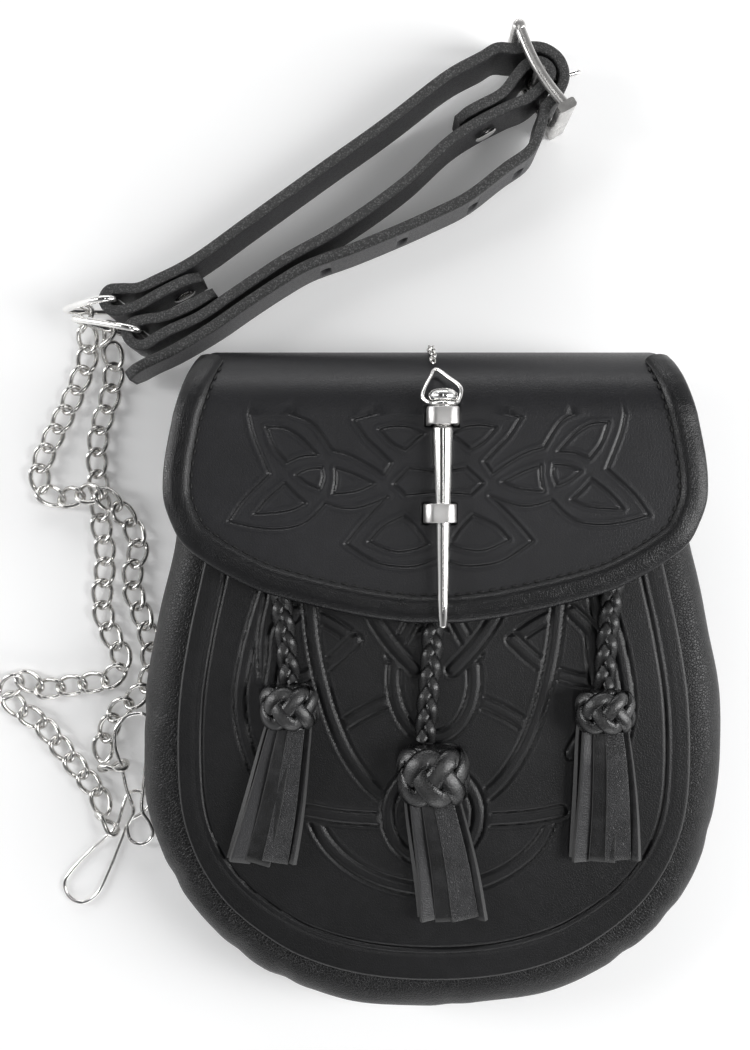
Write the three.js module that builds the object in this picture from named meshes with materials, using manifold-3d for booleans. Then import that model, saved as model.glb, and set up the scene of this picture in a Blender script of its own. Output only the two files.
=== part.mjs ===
// Sporran pouch lying on its back, with its strap on edge beside it and its chains and clips laid out.
// Millimetres. X across, Y towards the flap's fold, Z up from the surface it lies on.
// The origin is the centre of the underside of the plain belt strip on its back.
import * as THREE from 'three';
import { mergeVertices } from 'three/addons/utils/BufferGeometryUtils.js';
import Module from 'manifold-3d';

const wasm = await Module();
wasm.setup();

// Driving dimensions
const GAP = 0.3;
const BELT_STRIP = { width: 116, depth: 25, thickness: 2.2 };
const BACK = { bottom: 2.6, thickness: 2.2, inset: 2.9 };
const FRONT = { bottom: 32, thickness: 2.4, topEdge: 28, bevel: 0.7 };
const GUSSET = { reach: 12.4, thickness: 1.8, topEdge: 24, places: 32 };
const FLAP = { underside: 41, thickness: 2.4, foldY: 24.2 };
const BINDING = { inner: 6.3, wrap: 1.7, proud: 1.9, under: 1.5, underReach: 3 };
const PIN = { x: 2, z: 47.3, sides: 16 };
const STAPLE = { band: 1.4, halfWidth: 4.65, top: 51.9, corner: 2.2, slotClear: 0.5, slotHeight: 12 };
const BAIL = { wire: 0.65, sides: 6 };
const STRAP = {
  width: 21.6,
  thickness: 3.2,
  floor: 0.3,
  buckleLift: 3.3,
  ringLift: 2.3,
  ringTaper: 1.1,
  holeRadius: 1.9,
};
const RING = { wire: 1.1, low: 1.2, high: 24.7, shoulder: 5.8, cornerRadius: 2, sides: 6 };
const LINK = {
  halfLength: 4.5,
  halfWidth: 2.9,
  twist: 1.05,
  openTwist: 1.45,
  wire: 0.8,
  pitch: 7,
  bead: 1.4,
  bends: 8,
  sides: 4,
};
const CLIP = { wire: 0.65, sides: 6 };

// Half widths of the body's outline at its widest, the gusset's roll
const BODY_OUTLINE = [
  { y: -153.8, half: 24 },
  { y: -148.6, half: 42.2 },
  { y: -142.5, half: 54 },
  { y: -130.1, half: 69.7 },
  { y: -117.7, half: 79 },
  { y: -105.4, half: 84.6 },
  { y: -93, half: 87.6 },
  { y: -74.5, half: 88.7 },
  { y: -55.9, half: 87.8 },
  { y: -37.4, half: 84.9 },
  { y: -12.6, half: 79.6 },
  { y: 10, half: 76 },
  { y: 24, half: 73.6 },
  { y: 32, half: 72.4 },
];
const BODY_BOTTOM = -155.8;

// Middle of the gusset's wall: distance out from the front panel's edge, and height
const GUSSET_SECTION = [
  { out: -7.5, up: 6.1 },
  { out: -3, up: 6.1 },
  { out: -1.5, up: 5.2 },
  { out: -1.2, up: 3.2 },
  { out: 0, up: 1.5 },
  { out: 2.2, up: 1.15 },
  { out: 5.6, up: 2.8 },
  { out: 8.9, up: 6.6 },
  { out: 10.9, up: 11.6 },
  { out: 11.5, up: 17 },
  { out: 11, up: 22.4 },
  { out: 9.2, up: 26.8 },
  { out: 6, up: 29.8 },
  { out: 2, up: 30.75 },
  { out: -7.5, up: 30.75 },
];

// Half widths of the flap in front of its fold
const FLAP_OUTLINE = [
  { y: 24.2, half: 74.5 },
  { y: 16.6, half: 76 },
  { y: 10.8, half: 77 },
  { y: 5, half: 77.5 },
  { y: -0.8, half: 77.2 },
  { y: -6.6, half: 75.3 },
  { y: -12.3, half: 72.2 },
  { y: -18, half: 65 },
  { y: -22, half: 58 },
  { y: -25.4, half: 51 },
  { y: -28.4, half: 41 },
  { y: -30.9, half: 30.7 },
  { y: -33.6, half: 17 },
  { y: -34.9, half: 6 },
];
// Half widths of the leather around the fold, by the angle from the back to the front
const FOLD_WIDTHS = [
  { angle: -90, half: 58 },
  { angle: -60, half: 59.5 },
  { angle: -30, half: 62 },
  { angle: 0, half: 65 },
  { angle: 30, half: 68 },
  { angle: 60, half: 71.5 },
];

const vec = (x, y, z) => new THREE.Vector3(x, y, z);
const up = vec(0, 0, 1);

const leather = (color, roughness) => new THREE.MeshStandardMaterial({ color, roughness, metalness: 0 });
const metal = (color, roughness) => new THREE.MeshStandardMaterial({ color, roughness, metalness: 1 });
const smoothLeather = leather('#25272d', 0.42);
const pebbledLeather = leather('#1f2024', 0.5);
const tasselLeather = leather('#2a2d33', 0.5);
const strapLeather = leather('#3c3d42', 0.6);
const polished = metal('#d6d8dc', 0.16);
const satin = metal('#b9bbc0', 0.34);

// A closed mesh from points and faces, turned outwards
function solid(points, faces) {
  const geometry = new THREE.BufferGeometry();
  let volume = 0;
  for (const [a, b, c] of faces) {
    volume += points[a].dot(points[b].clone().cross(points[c]));
  }
  const ordered = volume < 0 ? faces.map(([a, b, c]) => [a, c, b]) : faces;
  const positions = points.flatMap((point) => point.toArray());
  geometry.setAttribute('position', new THREE.Float32BufferAttribute(positions, 3));
  geometry.setIndex(ordered.flat());
  return geometry;
}

// Joins rings of points that all have one outline; an open row of rings gets an end cap on each
function loft(rings, outline, closed = false) {
  const size = rings[0].length;
  const faces = [];
  const spans = closed ? rings.length : rings.length - 1;
  for (let i = 0; i < spans; i += 1) {
    const here = i * size;
    const next = ((i + 1) % rings.length) * size;
    for (let k = 0; k < size; k += 1) {
      const l = (k + 1) % size;
      faces.push([here + k, here + l, next + l], [here + k, next + l, next + k]);
    }
  }
  if (!closed) {
    const last = (rings.length - 1) * size;
    for (const [a, b, c] of THREE.ShapeUtils.triangulateShape(outline, [])) {
      faces.push([a, c, b], [last + a, last + b, last + c]);
    }
  }
  // The caps follow the outline's own turn, so they are matched to the sides by it
  if (!closed && THREE.ShapeUtils.area(outline) < 0) {
    const caps = 2 * THREE.ShapeUtils.triangulateShape(outline, []).length;
    for (let i = faces.length - caps; i < faces.length; i += 1) faces[i].reverse();
  }
  return solid(rings.flat(), faces);
}

function toManifold(geometry) {
  const bare = geometry.clone();
  bare.deleteAttribute('normal');
  bare.deleteAttribute('uv');
  const merged = mergeVertices(bare, 1e-4);
  return new wasm.Manifold(new wasm.Mesh({
    numProp: 3,
    vertProperties: new Float32Array(merged.attributes.position.array),
    triVerts: new Uint32Array(merged.index.array),
  }));
}

function fromManifold(manifold) {
  const mesh = manifold.getMesh();
  const geometry = new THREE.BufferGeometry();
  geometry.setAttribute('position', new THREE.BufferAttribute(mesh.vertProperties, 3));
  geometry.setIndex(new THREE.BufferAttribute(mesh.triVerts, 1));
  return geometry;
}

const join = (pieces) => fromManifold(pieces.map(toManifold).reduce((all, piece) => all.add(piece)));
const cut = (piece, tools) => fromManifold(
  tools.map(toManifold).reduce((rest, tool) => rest.subtract(tool), toManifold(piece)),
);

const sporran = new THREE.Group();
function piece(name, geometry, material) {
  const mesh = new THREE.Mesh(geometry, material);
  mesh.name = name;
  sporran.add(mesh);
  return mesh;
}

function box(width, depth, height, x, y, z) {
  return new THREE.BoxGeometry(width, depth, height).translate(x, y, z);
}

// A round bar between two points
function bar(from, to, radius, sides = 10, endRadius = radius) {
  const along = to.clone().sub(from);
  const geometry = new THREE.CylinderGeometry(endRadius, radius, along.length(), sides);
  geometry.translate(0, along.length() / 2, 0);
  geometry.applyQuaternion(new THREE.Quaternion().setFromUnitVectors(vec(0, 1, 0), along.normalize()));
  return geometry.translate(from.x, from.y, from.z);
}

// A wire bent into a closed loop through the points
function wireLoop(points, radius, sides) {
  const normal = vec(0, 0, 0);
  points.forEach((point, i) => normal.add(point.clone().cross(points[(i + 1) % points.length])));
  const rings = points.map((point, i) => {
    const before = points[(i + points.length - 1) % points.length];
    const tangent = points[(i + 1) % points.length].clone().sub(before).normalize();
    const side = normal.clone().cross(tangent).normalize();
    const lift = tangent.clone().cross(side);
    return Array.from({ length: sides }, (_, k) => {
      const angle = (2 * Math.PI * k) / sides;
      return point.clone()
        .addScaledVector(side, radius * Math.cos(angle))
        .addScaledVector(lift, radius * Math.sin(angle));
    });
  });
  return loft(rings, null, true);
}

// Rounds each corner of a closed run of points
function roundCorners(corners, radius) {
  return corners.flatMap((corner, i) => {
    const before = corners[(i + corners.length - 1) % corners.length].clone().sub(corner).setLength(radius);
    const after = corners[(i + 1) % corners.length].clone().sub(corner).setLength(radius);
    const middle = corner.clone().addScaledVector(before.clone().add(after), 0.22);
    return [corner.clone().add(before), middle, corner.clone().add(after)];
  });
}

// The half width between a table's rows
const interpolate = (rows, key, value) => {
  const after = Math.max(1, rows.findIndex((row) => row[key] >= value));
  const [a, b] = [rows[after - 1], rows[after]];
  return THREE.MathUtils.mapLinear(value, a[key], b[key], a.half, b.half);
};

// The body's outline as evenly spaced places, each with its way out
function bodyPlaces(count, topEdge) {
  const top = { y: topEdge, half: interpolate(BODY_OUTLINE, 'y', topEdge) };
  const rising = [...BODY_OUTLINE.filter((row) => row.y < topEdge - 2), top];
  const points = [
    ...rising.toReversed().map((row) => vec(row.half, row.y, 0)),
    vec(0, BODY_BOTTOM, 0),
    ...rising.map((row) => vec(-row.half, row.y, 0)),
  ];
  const curve = new THREE.CatmullRomCurve3(points, false, 'centripetal');
  return Array.from({ length: count + 1 }, (_, i) => {
    const tangent = curve.getTangentAt(i / count);
    return { point: curve.getPointAt(i / count), out: vec(-tangent.y, tangent.x, 0).normalize() };
  });
}

// The same outline moved in by a distance
function insetOutline(count, topEdge, inset) {
  return bodyPlaces(count, topEdge).map(({ point, out }) => point.clone().addScaledVector(out, -inset));
}

// A thin wall's section, with the wall's middle given as points
function wallSection(middle, thickness) {
  const side = (sign) => middle.map((point, i) => {
    const before = middle[Math.max(i - 1, 0)];
    const after = middle[Math.min(i + 1, middle.length - 1)];
    const along = after.clone().sub(before).normalize();
    const off = (sign * thickness) / 2;
    return new THREE.Vector2(point.x - along.y * off, point.y + along.x * off);
  });
  return [...side(1), ...side(-1).toReversed()];
}

function makeGusset() {
  const middle = GUSSET_SECTION.map((row) => new THREE.Vector2(row.out, row.up));
  const section = wallSection(middle, GUSSET.thickness);
  const rings = bodyPlaces(GUSSET.places, GUSSET.topEdge).map(({ point, out }) => section.map((place) => {
    const ringPoint = point.clone().addScaledVector(out, place.x - GUSSET.reach);
    ringPoint.z = place.y;
    return ringPoint;
  }));
  return loft(rings, section);
}

function makeFrontPanel() {
  const edge = insetOutline(GUSSET.places, FRONT.topEdge, GUSSET.reach + FRONT.bevel);
  const shape = new THREE.Shape(edge.map((point) => new THREE.Vector2(point.x, point.y)));
  const geometry = new THREE.ExtrudeGeometry(shape, {
    depth: FRONT.thickness - 2 * FRONT.bevel,
    bevelThickness: FRONT.bevel,
    bevelSize: FRONT.bevel,
    bevelSegments: 1,
  });
  return geometry.translate(0, 0, FRONT.bottom + FRONT.bevel);
}

// The leather's middle line from the bottom of the back, round the fold and down the front:
// half width, place, and the way off its outer face
function leatherStations() {
  const backMiddle = BACK.bottom + BACK.thickness / 2;
  const foldRadius = (FLAP.underside + FLAP.thickness / 2 - backMiddle) / 2;
  const foldCentre = backMiddle + foldRadius;
  const edge = insetOutline(120, GUSSET.topEdge, GUSSET.reach + BACK.inset).filter((point) => point.x > 0);
  const backRows = edge.map((point) => ({ y: point.y, half: point.x })).sort((a, b) => a.y - b.y);
  const backSteps = [-141.2, -139.6, -136, -131, -125, -118, -108, -96, -80, -60, -40, -20, 0];
  const back = backSteps.filter((y) => y > backRows[0].y)
    .map((y) => ({ half: interpolate(backRows, 'y', y), y, z: backMiddle, out: vec(0, 0, -1) }));
  const foldStart = { half: FOLD_WIDTHS[0].half, y: 16, z: backMiddle, out: vec(0, 0, -1) };
  const fold = [];
  for (let angle = -90; angle < 90; angle += 15) {
    const turn = THREE.MathUtils.degToRad(angle);
    const out = vec(0, Math.cos(turn), Math.sin(turn));
    const rows = [...FOLD_WIDTHS, { angle: 90, half: FLAP_OUTLINE[0].half }];
    fold.push({
      half: interpolate(rows, 'angle', angle),
      y: FLAP.foldY + foldRadius * out.y,
      z: foldCentre + foldRadius * out.z,
      out,
    });
  }
  const front = FLAP_OUTLINE.map((row) => ({
    half: row.half,
    y: row.y,
    z: FLAP.underside + FLAP.thickness / 2,
    out: vec(0, 0, 1),
  }));
  return { back: [...back, foldStart], fold, front, foldRadius, foldCentre };
}

const stations = leatherStations();

function makeBackAndFlap() {
  const rings = [...stations.back, ...stations.fold, ...stations.front].map((place) => {
    const isBack = place.z < BACK.bottom + BACK.thickness;
    const half = (isBack ? BACK.thickness : FLAP.thickness) / 2;
    const middle = vec(0, place.y, place.z);
    const outer = middle.clone().addScaledVector(place.out, half);
    const inner = middle.clone().addScaledVector(place.out, -half);
    return [
      outer.clone().setX(place.half),
      outer.clone().setX(-place.half),
      inner.clone().setX(-place.half),
      inner.clone().setX(place.half),
    ];
  });
  const outline = [[1, 1], [-1, 1], [-1, -1], [1, -1]].map(([x, y]) => new THREE.Vector2(x, y));
  return cut(loft(rings, outline), staples.flatMap(stapleSlots));
}

// The binding wraps the flap's sides and bottom, and reaches over the fold at the top
function makeBinding() {
  const places = [...stations.fold.filter((place) => place.out.z > 0.45), ...stations.front];
  const right = places.map((place) => ({
    point: vec(place.half, place.y, place.z).addScaledVector(place.out, FLAP.thickness / 2),
    normal: place.out,
  }));
  const mirrored = ({ point, normal }) => ({ point: point.clone().setX(-point.x), normal });
  const left = right.toReversed().map(mirrored);
  const all = [...right, ...left];
  const top = BINDING.proud;
  const low = -FLAP.thickness - GAP;
  const section = [
    [-BINDING.inner, GAP],
    [-BINDING.inner, top - 0.6],
    [-BINDING.inner / 2, top],
    [0.4, top],
    [BINDING.wrap, top - 1.3],
    [BINDING.wrap, low - BINDING.under + 1.3],
    [0.4, low - BINDING.under],
    [-BINDING.underReach, low - BINDING.under],
    [-BINDING.underReach, low],
    [GAP, low],
    [GAP, GAP],
  ].map(([x, y]) => new THREE.Vector2(x, y));
  const rings = all.map(({ point, normal }, i) => {
    const before = all[Math.max(i - 1, 0)].point;
    const after = all[Math.min(i + 1, all.length - 1)].point;
    const out = after.clone().sub(before).cross(normal).normalize().negate();
    const at = ({ x, y }) => point.clone().addScaledVector(out, x).addScaledVector(normal, y);
    return section.map(at);
  });
  return loft(rings, section);
}

// Two flat-band staples stand on the front panel, through slots in the flap, over the pin
const staples = [
  { name: 'staple_upper', x: 2, y: 23.3, depth: 5.1 },
  { name: 'staple_lower', x: 1.2, y: -4.7, depth: 5.5 },
];

function makeStaple({ x, y, depth }) {
  const { band, halfWidth, top, corner } = STAPLE;
  const foot = FRONT.bottom + FRONT.thickness + GAP;
  const outside = [
    [-halfWidth, foot],
    [halfWidth, foot],
    [halfWidth, top - corner],
    [halfWidth - corner, top],
    [corner - halfWidth, top],
    [-halfWidth, top - corner],
  ];
  const inside = [
    [-halfWidth + band, foot - 1],
    [-halfWidth + band, top - band - corner / 2],
    [-halfWidth + band + corner / 2, top - band],
    [halfWidth - band - corner / 2, top - band],
    [halfWidth - band, top - band - corner / 2],
    [halfWidth - band, foot - 1],
  ];
  const prism = (points, thickness) => new THREE.ExtrudeGeometry(
    new THREE.Shape(points.map(([u, v]) => new THREE.Vector2(u, v))),
    { depth: thickness, bevelEnabled: false },
  ).translate(0, 0, -thickness / 2).rotateX(Math.PI / 2).translate(x, y, 0);
  return cut(prism(outside, depth), [prism(inside, depth + 2)]);
}

function stapleSlots({ x, y, depth }) {
  const clear = STAPLE.slotClear;
  return [-1, 1].map((side) => box(
    STAPLE.band + 2 * clear,
    depth + 2 * clear,
    STAPLE.slotHeight,
    x + side * (STAPLE.halfWidth - STAPLE.band / 2),
    y,
    FLAP.underside + 1,
  ));
}

function makePin() {
  const profile = [
    { y: -37.8, r: 0 },
    { y: -37.6, r: 1 },
    { y: -37, r: 1.4 },
    { y: -7, r: 2.05 },
    { y: -1.5, r: 2.3 },
    { y: 20, r: 3 },
    { y: 20.6, r: 2.6 },
    { y: 27.5, r: 2.6 },
    { y: 27.9, r: 3.7 },
    { y: 28.5, r: 4.15 },
    { y: 29.6, r: 4.25 },
    { y: 30.6, r: 3.6 },
    { y: 31.2, r: 2.4 },
    { y: 31.4, r: 0 },
  ].map((row) => new THREE.Vector2(row.r, row.y));
  return new THREE.LatheGeometry(profile, PIN.sides).translate(PIN.x, 0, PIN.z);
}

function makeBail() {
  const turn = [
    vec(0.1, 37.4, 41.2),
    vec(4, 34.6, 43.6),
    vec(7.2, 31.6, 45.6),
    vec(7, 28.8, 46.8),
    vec(5.7, 26.9, 48.2),
    vec(4.5, 26.72, 50.3),
    vec(2, 26.72, 51.1),
    vec(-0.5, 26.72, 50.3),
    vec(-1.8, 26.9, 48.2),
    vec(-3.8, 28.6, 46.8),
    vec(-3.2, 31.4, 45.4),
    vec(-1.4, 35, 43),
  ];
  return wireLoop(turn, BAIL.wire, BAIL.sides);
}

// The fine chain lies over the fold, down to a rivet on the back of it
const CHAIN_LANE = { x: -0.5, radius: 1.1, from: 42, to: -34 };
function foldPoint(x, height, angle) {
  const turn = THREE.MathUtils.degToRad(angle);
  const radius = stations.foldRadius + FLAP.thickness / 2 + height;
  return vec(x, FLAP.foldY + radius * Math.cos(turn), stations.foldCentre + radius * Math.sin(turn));
}

function makePinChain() {
  const { x, radius, from, to } = CHAIN_LANE;
  const angles = Array.from({ length: 9 }, (_, i) => from + ((to - from) * i) / 8);
  const points = angles.map((angle) => foldPoint(x, radius + GAP, angle));
  const ring = new THREE.Shape(new THREE.EllipseCurve(0, 0, radius, radius).getPoints(8).slice(0, 8));
  return new THREE.ExtrudeGeometry(ring, { steps: 20, extrudePath: new THREE.CatmullRomCurve3(points) });
}

function makeChainRivet() {
  const angle = CHAIN_LANE.to - 10;
  return bar(foldPoint(CHAIN_LANE.x, GAP, angle), foldPoint(CHAIN_LANE.x, 1.5, angle), 3, 14, 2.4);
}

// Tassels: a flat braid from under the flap, a woven knot and a skirt of strips
const tassels = [
  {
    side: 'left',
    braid: [[-47.5, -11.5], [-46.6, -20], [-45.4, -29], [-43.8, -43], [-42.6, -54.4]],
    knot: { x: -42.5, y: -61, width: 18, height: 12.4, thickness: 14 },
    skirt: { x: -50.6, y: -107.5, top: 14.5, bottom: 24 },
  },
  {
    side: 'middle',
    braid: [[0.2, -28], [-0.3, -40], [-1.4, -55], [-2.8, -71.8]],
    knot: { x: -0.6, y: -80.6, width: 22, height: 16.4, thickness: 16.5 },
    skirt: { x: 5.6, y: -124.5, top: 17.5, bottom: 25 },
  },
  {
    side: 'right',
    braid: [[54.8, -12.5], [53.8, -22], [52.3, -30], [50.8, -46], [50.2, -55.8]],
    knot: { x: 49.6, y: -62.3, width: 18.2, height: 12, thickness: 14 },
    skirt: { x: 50.4, y: -107, top: 16, bottom: 25 },
  },
];
const BRAID = { halfWidth: 3.5, halfThickness: 2.1, steps: 12 };
const panelTop = FRONT.bottom + FRONT.thickness + GAP;

function makeBraid(route) {
  const path = new THREE.CatmullRomCurve3(route.map(([x, y]) => vec(x, y, panelTop + BRAID.halfThickness)));
  const oval = new THREE.EllipseCurve(0, 0, BRAID.halfThickness, BRAID.halfWidth).getPoints(8).slice(0, 8);
  return new THREE.ExtrudeGeometry(new THREE.Shape(oval), { steps: BRAID.steps, extrudePath: path });
}

function makeKnot({ x, y, width, height, thickness }) {
  const profile = [[0, -0.5], [0.55, -0.5], [0.85, -0.36], [1, 0], [0.85, 0.36], [0.55, 0.5], [0, 0.5]]
    .map(([r, v]) => new THREE.Vector2((r * width) / 2, v * height));
  return new THREE.LatheGeometry(profile, 16)
    .scale(1, 1, thickness / width)
    .translate(x, y, panelTop + thickness / 2);
}

function makeSkirt(knot, skirt) {
  const from = vec(knot.x, knot.y - knot.height / 2 - GAP, 0);
  const to = vec(skirt.x, skirt.y, 0);
  const rows = [
    { t: 0, spread: 0, thickness: 7 },
    { t: 0.25, spread: 0.3, thickness: 7.5 },
    { t: 0.6, spread: 0.72, thickness: 6 },
    { t: 1, spread: 1, thickness: 4 },
  ];
  const across = vec(1, 0, 0);
  const outline = [[-1, 0.15], [-0.8, 0], [0.8, 0], [1, 0.15], [1, 0.7], [0.75, 1], [-0.75, 1], [-1, 0.7]]
    .map(([u, v]) => new THREE.Vector2(u, v));
  const rings = rows.map(({ t, spread, thickness }) => {
    const half = THREE.MathUtils.lerp(skirt.top, skirt.bottom, spread) / 2;
    return outline.map((place) => {
      const point = from.clone().lerp(to, t).addScaledVector(across, place.x * half);
      point.z = panelTop + place.y * thickness;
      return point;
    });
  });
  return loft(rings, outline);
}

// The buckle stands on edge: along its length from the far end, and out through its windows
const BUCKLE = {
  x: 26,
  y: 142.8,
  angle: -59.4,
  length: 28.6,
  low: 0.2,
  high: 28.7,
  rail: 3,
  endBar: 2,
  endPlate: { from: 26.6, to: 29.8, width: 6 },
  barAt: 14.8,
  barOut: -1.4,
  bar: 1.6,
  barShort: 0.4,
};
const buckleTurn = THREE.MathUtils.degToRad(BUCKLE.angle);
const alongBuckle = vec(Math.cos(buckleTurn), Math.sin(buckleTurn), 0);
const outOfBuckle = vec(-alongBuckle.y, alongBuckle.x, 0);
const buckleMiddle = (BUCKLE.low + BUCKLE.high) / 2;
function buckle(along, out, z = 0) {
  return vec(BUCKLE.x, BUCKLE.y, z).addScaledVector(alongBuckle, along).addScaledVector(outOfBuckle, out);
}

// Triangular rings: the bar in the strap's eye, and the apex away from it
const strapRings = [
  { name: 'ring_upper', bar: [-97.1, 61], apex: [-115.4, 59.4], apexZ: 11.5 },
  { name: 'ring_lower', bar: [-89.6, 51.4], apex: [-112.6, 56.6], apexZ: 13.5 },
];

// Routes of the two straps' middles, seen from above
const onFloor = (x, y) => vec(x, y, 0);
const LONG_ROUTE = [
  onFloor(-71.5, 68.9), onFloor(-78, 65.9), onFloor(-84, 62.7), onFloor(-90, 59.3),
  onFloor(-95.4, 57.7), onFloor(-99, 58.2), onFloor(-100.5, 61), onFloor(-98.9, 63.9),
  onFloor(-95.2, 64.4), onFloor(-90, 64.6), onFloor(-84, 67.3), onFloor(-73.5, 73), onFloor(-56, 85.5),
  onFloor(-31, 103.5), onFloor(-11, 117.5), onFloor(5.5, 129.5), onFloor(15, 134.6), buckle(1.6, -8.2),
  buckle(4.6, -3.6), buckle(6.2, 0.2), buckle(9, 4), buckle(14, 6.2), buckle(19.4, 5),
  buckle(22.7, 0.9), buckle(24.6, -4.4), buckle(29.4, -9.4), onFloor(30, 106.5), onFloor(22.5, 101),
  onFloor(11, 92.5), onFloor(-0.5, 87), onFloor(-9.5, 83), onFloor(-24, 77), onFloor(-38.5, 71.6),
  onFloor(-46.5, 67), onFloor(-57.5, 59.8), onFloor(-68.5, 52.2), onFloor(-80, 45.2),
  onFloor(-88, 41.4), onFloor(-94, 38),
];
const SHORT_ROUTE = [
  onFloor(-67, 63.9), onFloor(-74.1, 59.4), onFloor(-82.3, 55.8), onFloor(-88.3, 54.9),
  onFloor(-92.2, 53.5), onFloor(-93.5, 50.7), onFloor(-91.7, 47.8), onFloor(-88, 47.2),
  onFloor(-84.8, 49.2), onFloor(-80.5, 51.6), onFloor(-72, 55.6), onFloor(-60.5, 63.4),
  onFloor(-44.5, 74), onFloor(-29.5, 82.4), onFloor(-8, 97.5), onFloor(7, 110.5), buckle(18.6, -14),
  buckle(19.4, -8.4), buckle(18.9, -4), buckle(17.1, 1.4), buckle(14.8, 2.3), buckle(12, 1),
  buckle(10.4, -2.6), buckle(11.8, -7.6), onFloor(21.4, 123.7), onFloor(14, 119.6), onFloor(7.7, 116.2),
];

// The heights of a strap's two edges: its own floor, lifted in the buckle and narrowed in the rings
function strapEdges(point) {
  const nearness = (centre, from, to) => 1 - THREE.MathUtils.smoothstep(point.distanceTo(centre), from, to);
  const inBuckle = nearness(buckle(BUCKLE.length / 2, 0), 22, 62);
  const inRing = Math.max(...strapRings.map((ring) => nearness(onFloor(...ring.bar), 8, 26)));
  const low = STRAP.floor + STRAP.buckleLift * inBuckle + STRAP.ringLift * inRing;
  return { low, high: low + STRAP.width - STRAP.ringTaper * inRing };
}

function makeStrap(route) {
  const curve = new THREE.CatmullRomCurve3(route, false, 'centripetal');
  const half = STRAP.thickness / 2;
  const steps = 2 * (route.length - 1);
  const rings = Array.from({ length: steps + 1 }, (_, i) => {
    const point = curve.getPoint(i / steps);
    const tangent = curve.getTangent(i / steps);
    const side = vec(-tangent.y, tangent.x, 0);
    const { low, high } = strapEdges(point);
    return [[half, low], [half, high], [-half, high], [-half, low]]
      .map(([offset, z]) => point.clone().addScaledVector(side, offset).setZ(z));
  });
  const outline = [[1, 0], [1, 1], [-1, 1], [-1, 0]].map(([x, y]) => new THREE.Vector2(x, y));
  return loft(rings, outline);
}

function strapMiddle(x, y) {
  const { low, high } = strapEdges(onFloor(x, y));
  return vec(x, y, (low + high) / 2);
}

// Rivets through a strap and its lap: head, shank, head
const rivets = [
  { name: 'strap_rivet_1', x: -79.2, y: 67.6, angle: 118 },
  { name: 'strap_rivet_2', x: -73.1, y: 57.5, angle: 119 },
  { name: 'strap_rivet_3', x: 14.9, y: 117.5, angle: 119 },
];
const RIVET = { head: 3.6, shank: 1.4, reach: 4.1, cap: 0.9 };

function rivetAxis({ x, y, angle }) {
  const turn = THREE.MathUtils.degToRad(angle);
  const centre = strapMiddle(x, y);
  return { centre, axis: vec(Math.cos(turn), Math.sin(turn), 0) };
}

function makeRivet(rivet) {
  const { centre, axis } = rivetAxis(rivet);
  const at = (distance) => centre.clone().addScaledVector(axis, distance);
  const { head, shank, reach, cap } = RIVET;
  return join([
    bar(at(-reach - cap / 2), at(reach + cap / 2), shank, 8),
    bar(at(reach), at(reach + cap), head, 10, head - 0.8),
    bar(at(-reach), at(-reach - cap), head, 10, head - 0.8),
  ]);
}

function rivetHole(rivet) {
  const { centre, axis } = rivetAxis(rivet);
  const reach = axis.clone().multiplyScalar(RIVET.reach + 1);
  return bar(centre.clone().sub(reach), centre.clone().add(reach), RIVET.shank + GAP, 8);
}

// The holes of the long strap, one row along its middle
const STRAP_HOLES = [
  { x: 26, y: 103.6, angle: 135 },
  { x: 12.2, y: 93.5, angle: 123 },
  { x: -9.5, y: 83, angle: 114 },
  { x: -33.5, y: 73.4, angle: 112 },
];
function strapHole({ x, y, angle }) {
  const turn = THREE.MathUtils.degToRad(angle);
  const reach = vec(Math.cos(turn), Math.sin(turn), 0).multiplyScalar(4);
  const centre = strapMiddle(x, y);
  return bar(centre.clone().sub(reach), centre.clone().add(reach), STRAP.holeRadius, 10);
}

const prongRoot = buckle(BUCKLE.barAt, BUCKLE.barOut, buckleMiddle);
const prongTip = buckle(18.6, 12.8, buckleMiddle);
const PRONG = { radius: 1.2, eye: 2.9, eyeHeight: 2.4 };

function makeBuckleFrame() {
  const { low, high, rail, length, endBar, endPlate, barAt, barOut, barShort } = BUCKLE;
  const block = (from, to, width, bottom, top) => {
    const centre = buckle((from + to) / 2, 0, (bottom + top) / 2);
    const geometry = new THREE.BoxGeometry(to - from, width, top - bottom);
    return geometry.rotateZ(buckleTurn).translate(centre.x, centre.y, centre.z);
  };
  return join([
    block(0, length, rail, low, low + rail),
    block(0, length, rail, high - rail, high),
    block(endPlate.from, endPlate.to, endPlate.width, low, high),
    bar(buckle(0, 0, low), buckle(0, 0, high), endBar, 12),
    bar(buckle(barAt, barOut, low + barShort), buckle(barAt, barOut, high - barShort), BUCKLE.bar, 10),
  ]);
}

function makeProng() {
  const hub = bar(
    prongRoot.clone().setZ(buckleMiddle - PRONG.eyeHeight / 2),
    prongRoot.clone().setZ(buckleMiddle + PRONG.eyeHeight / 2),
    PRONG.eye,
    14,
  );
  const hole = bar(prongRoot.clone().setZ(0), prongRoot.clone().setZ(BUCKLE.high), BUCKLE.bar + GAP, 14);
  const finger = bar(prongRoot, prongTip, PRONG.radius, 10, PRONG.radius - 0.35);
  return cut(join([hub, finger]), [hole]);
}

// Room for the prong through the short strap's eye and the long strap
function prongRoom() {
  const start = prongRoot.clone();
  return [
    bar(start, prongTip, PRONG.radius + GAP + 0.1, 10),
    bar(start.clone().setZ(buckleMiddle - 1.6), start.clone().setZ(buckleMiddle + 1.6), PRONG.eye + 0.4, 14),
  ];
}

function ringCorners(ring) {
  const foot = onFloor(...ring.bar);
  const point = onFloor(...ring.apex);
  const shoulder = foot.clone().lerp(point, RING.shoulder / foot.distanceTo(point));
  return {
    top: foot.clone().setZ(RING.high),
    topShoulder: shoulder.clone().setZ(RING.high),
    apex: point.clone().setZ(ring.apexZ),
    lowShoulder: shoulder.clone().setZ(RING.low),
    bottom: foot.clone().setZ(RING.low),
  };
}

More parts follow.
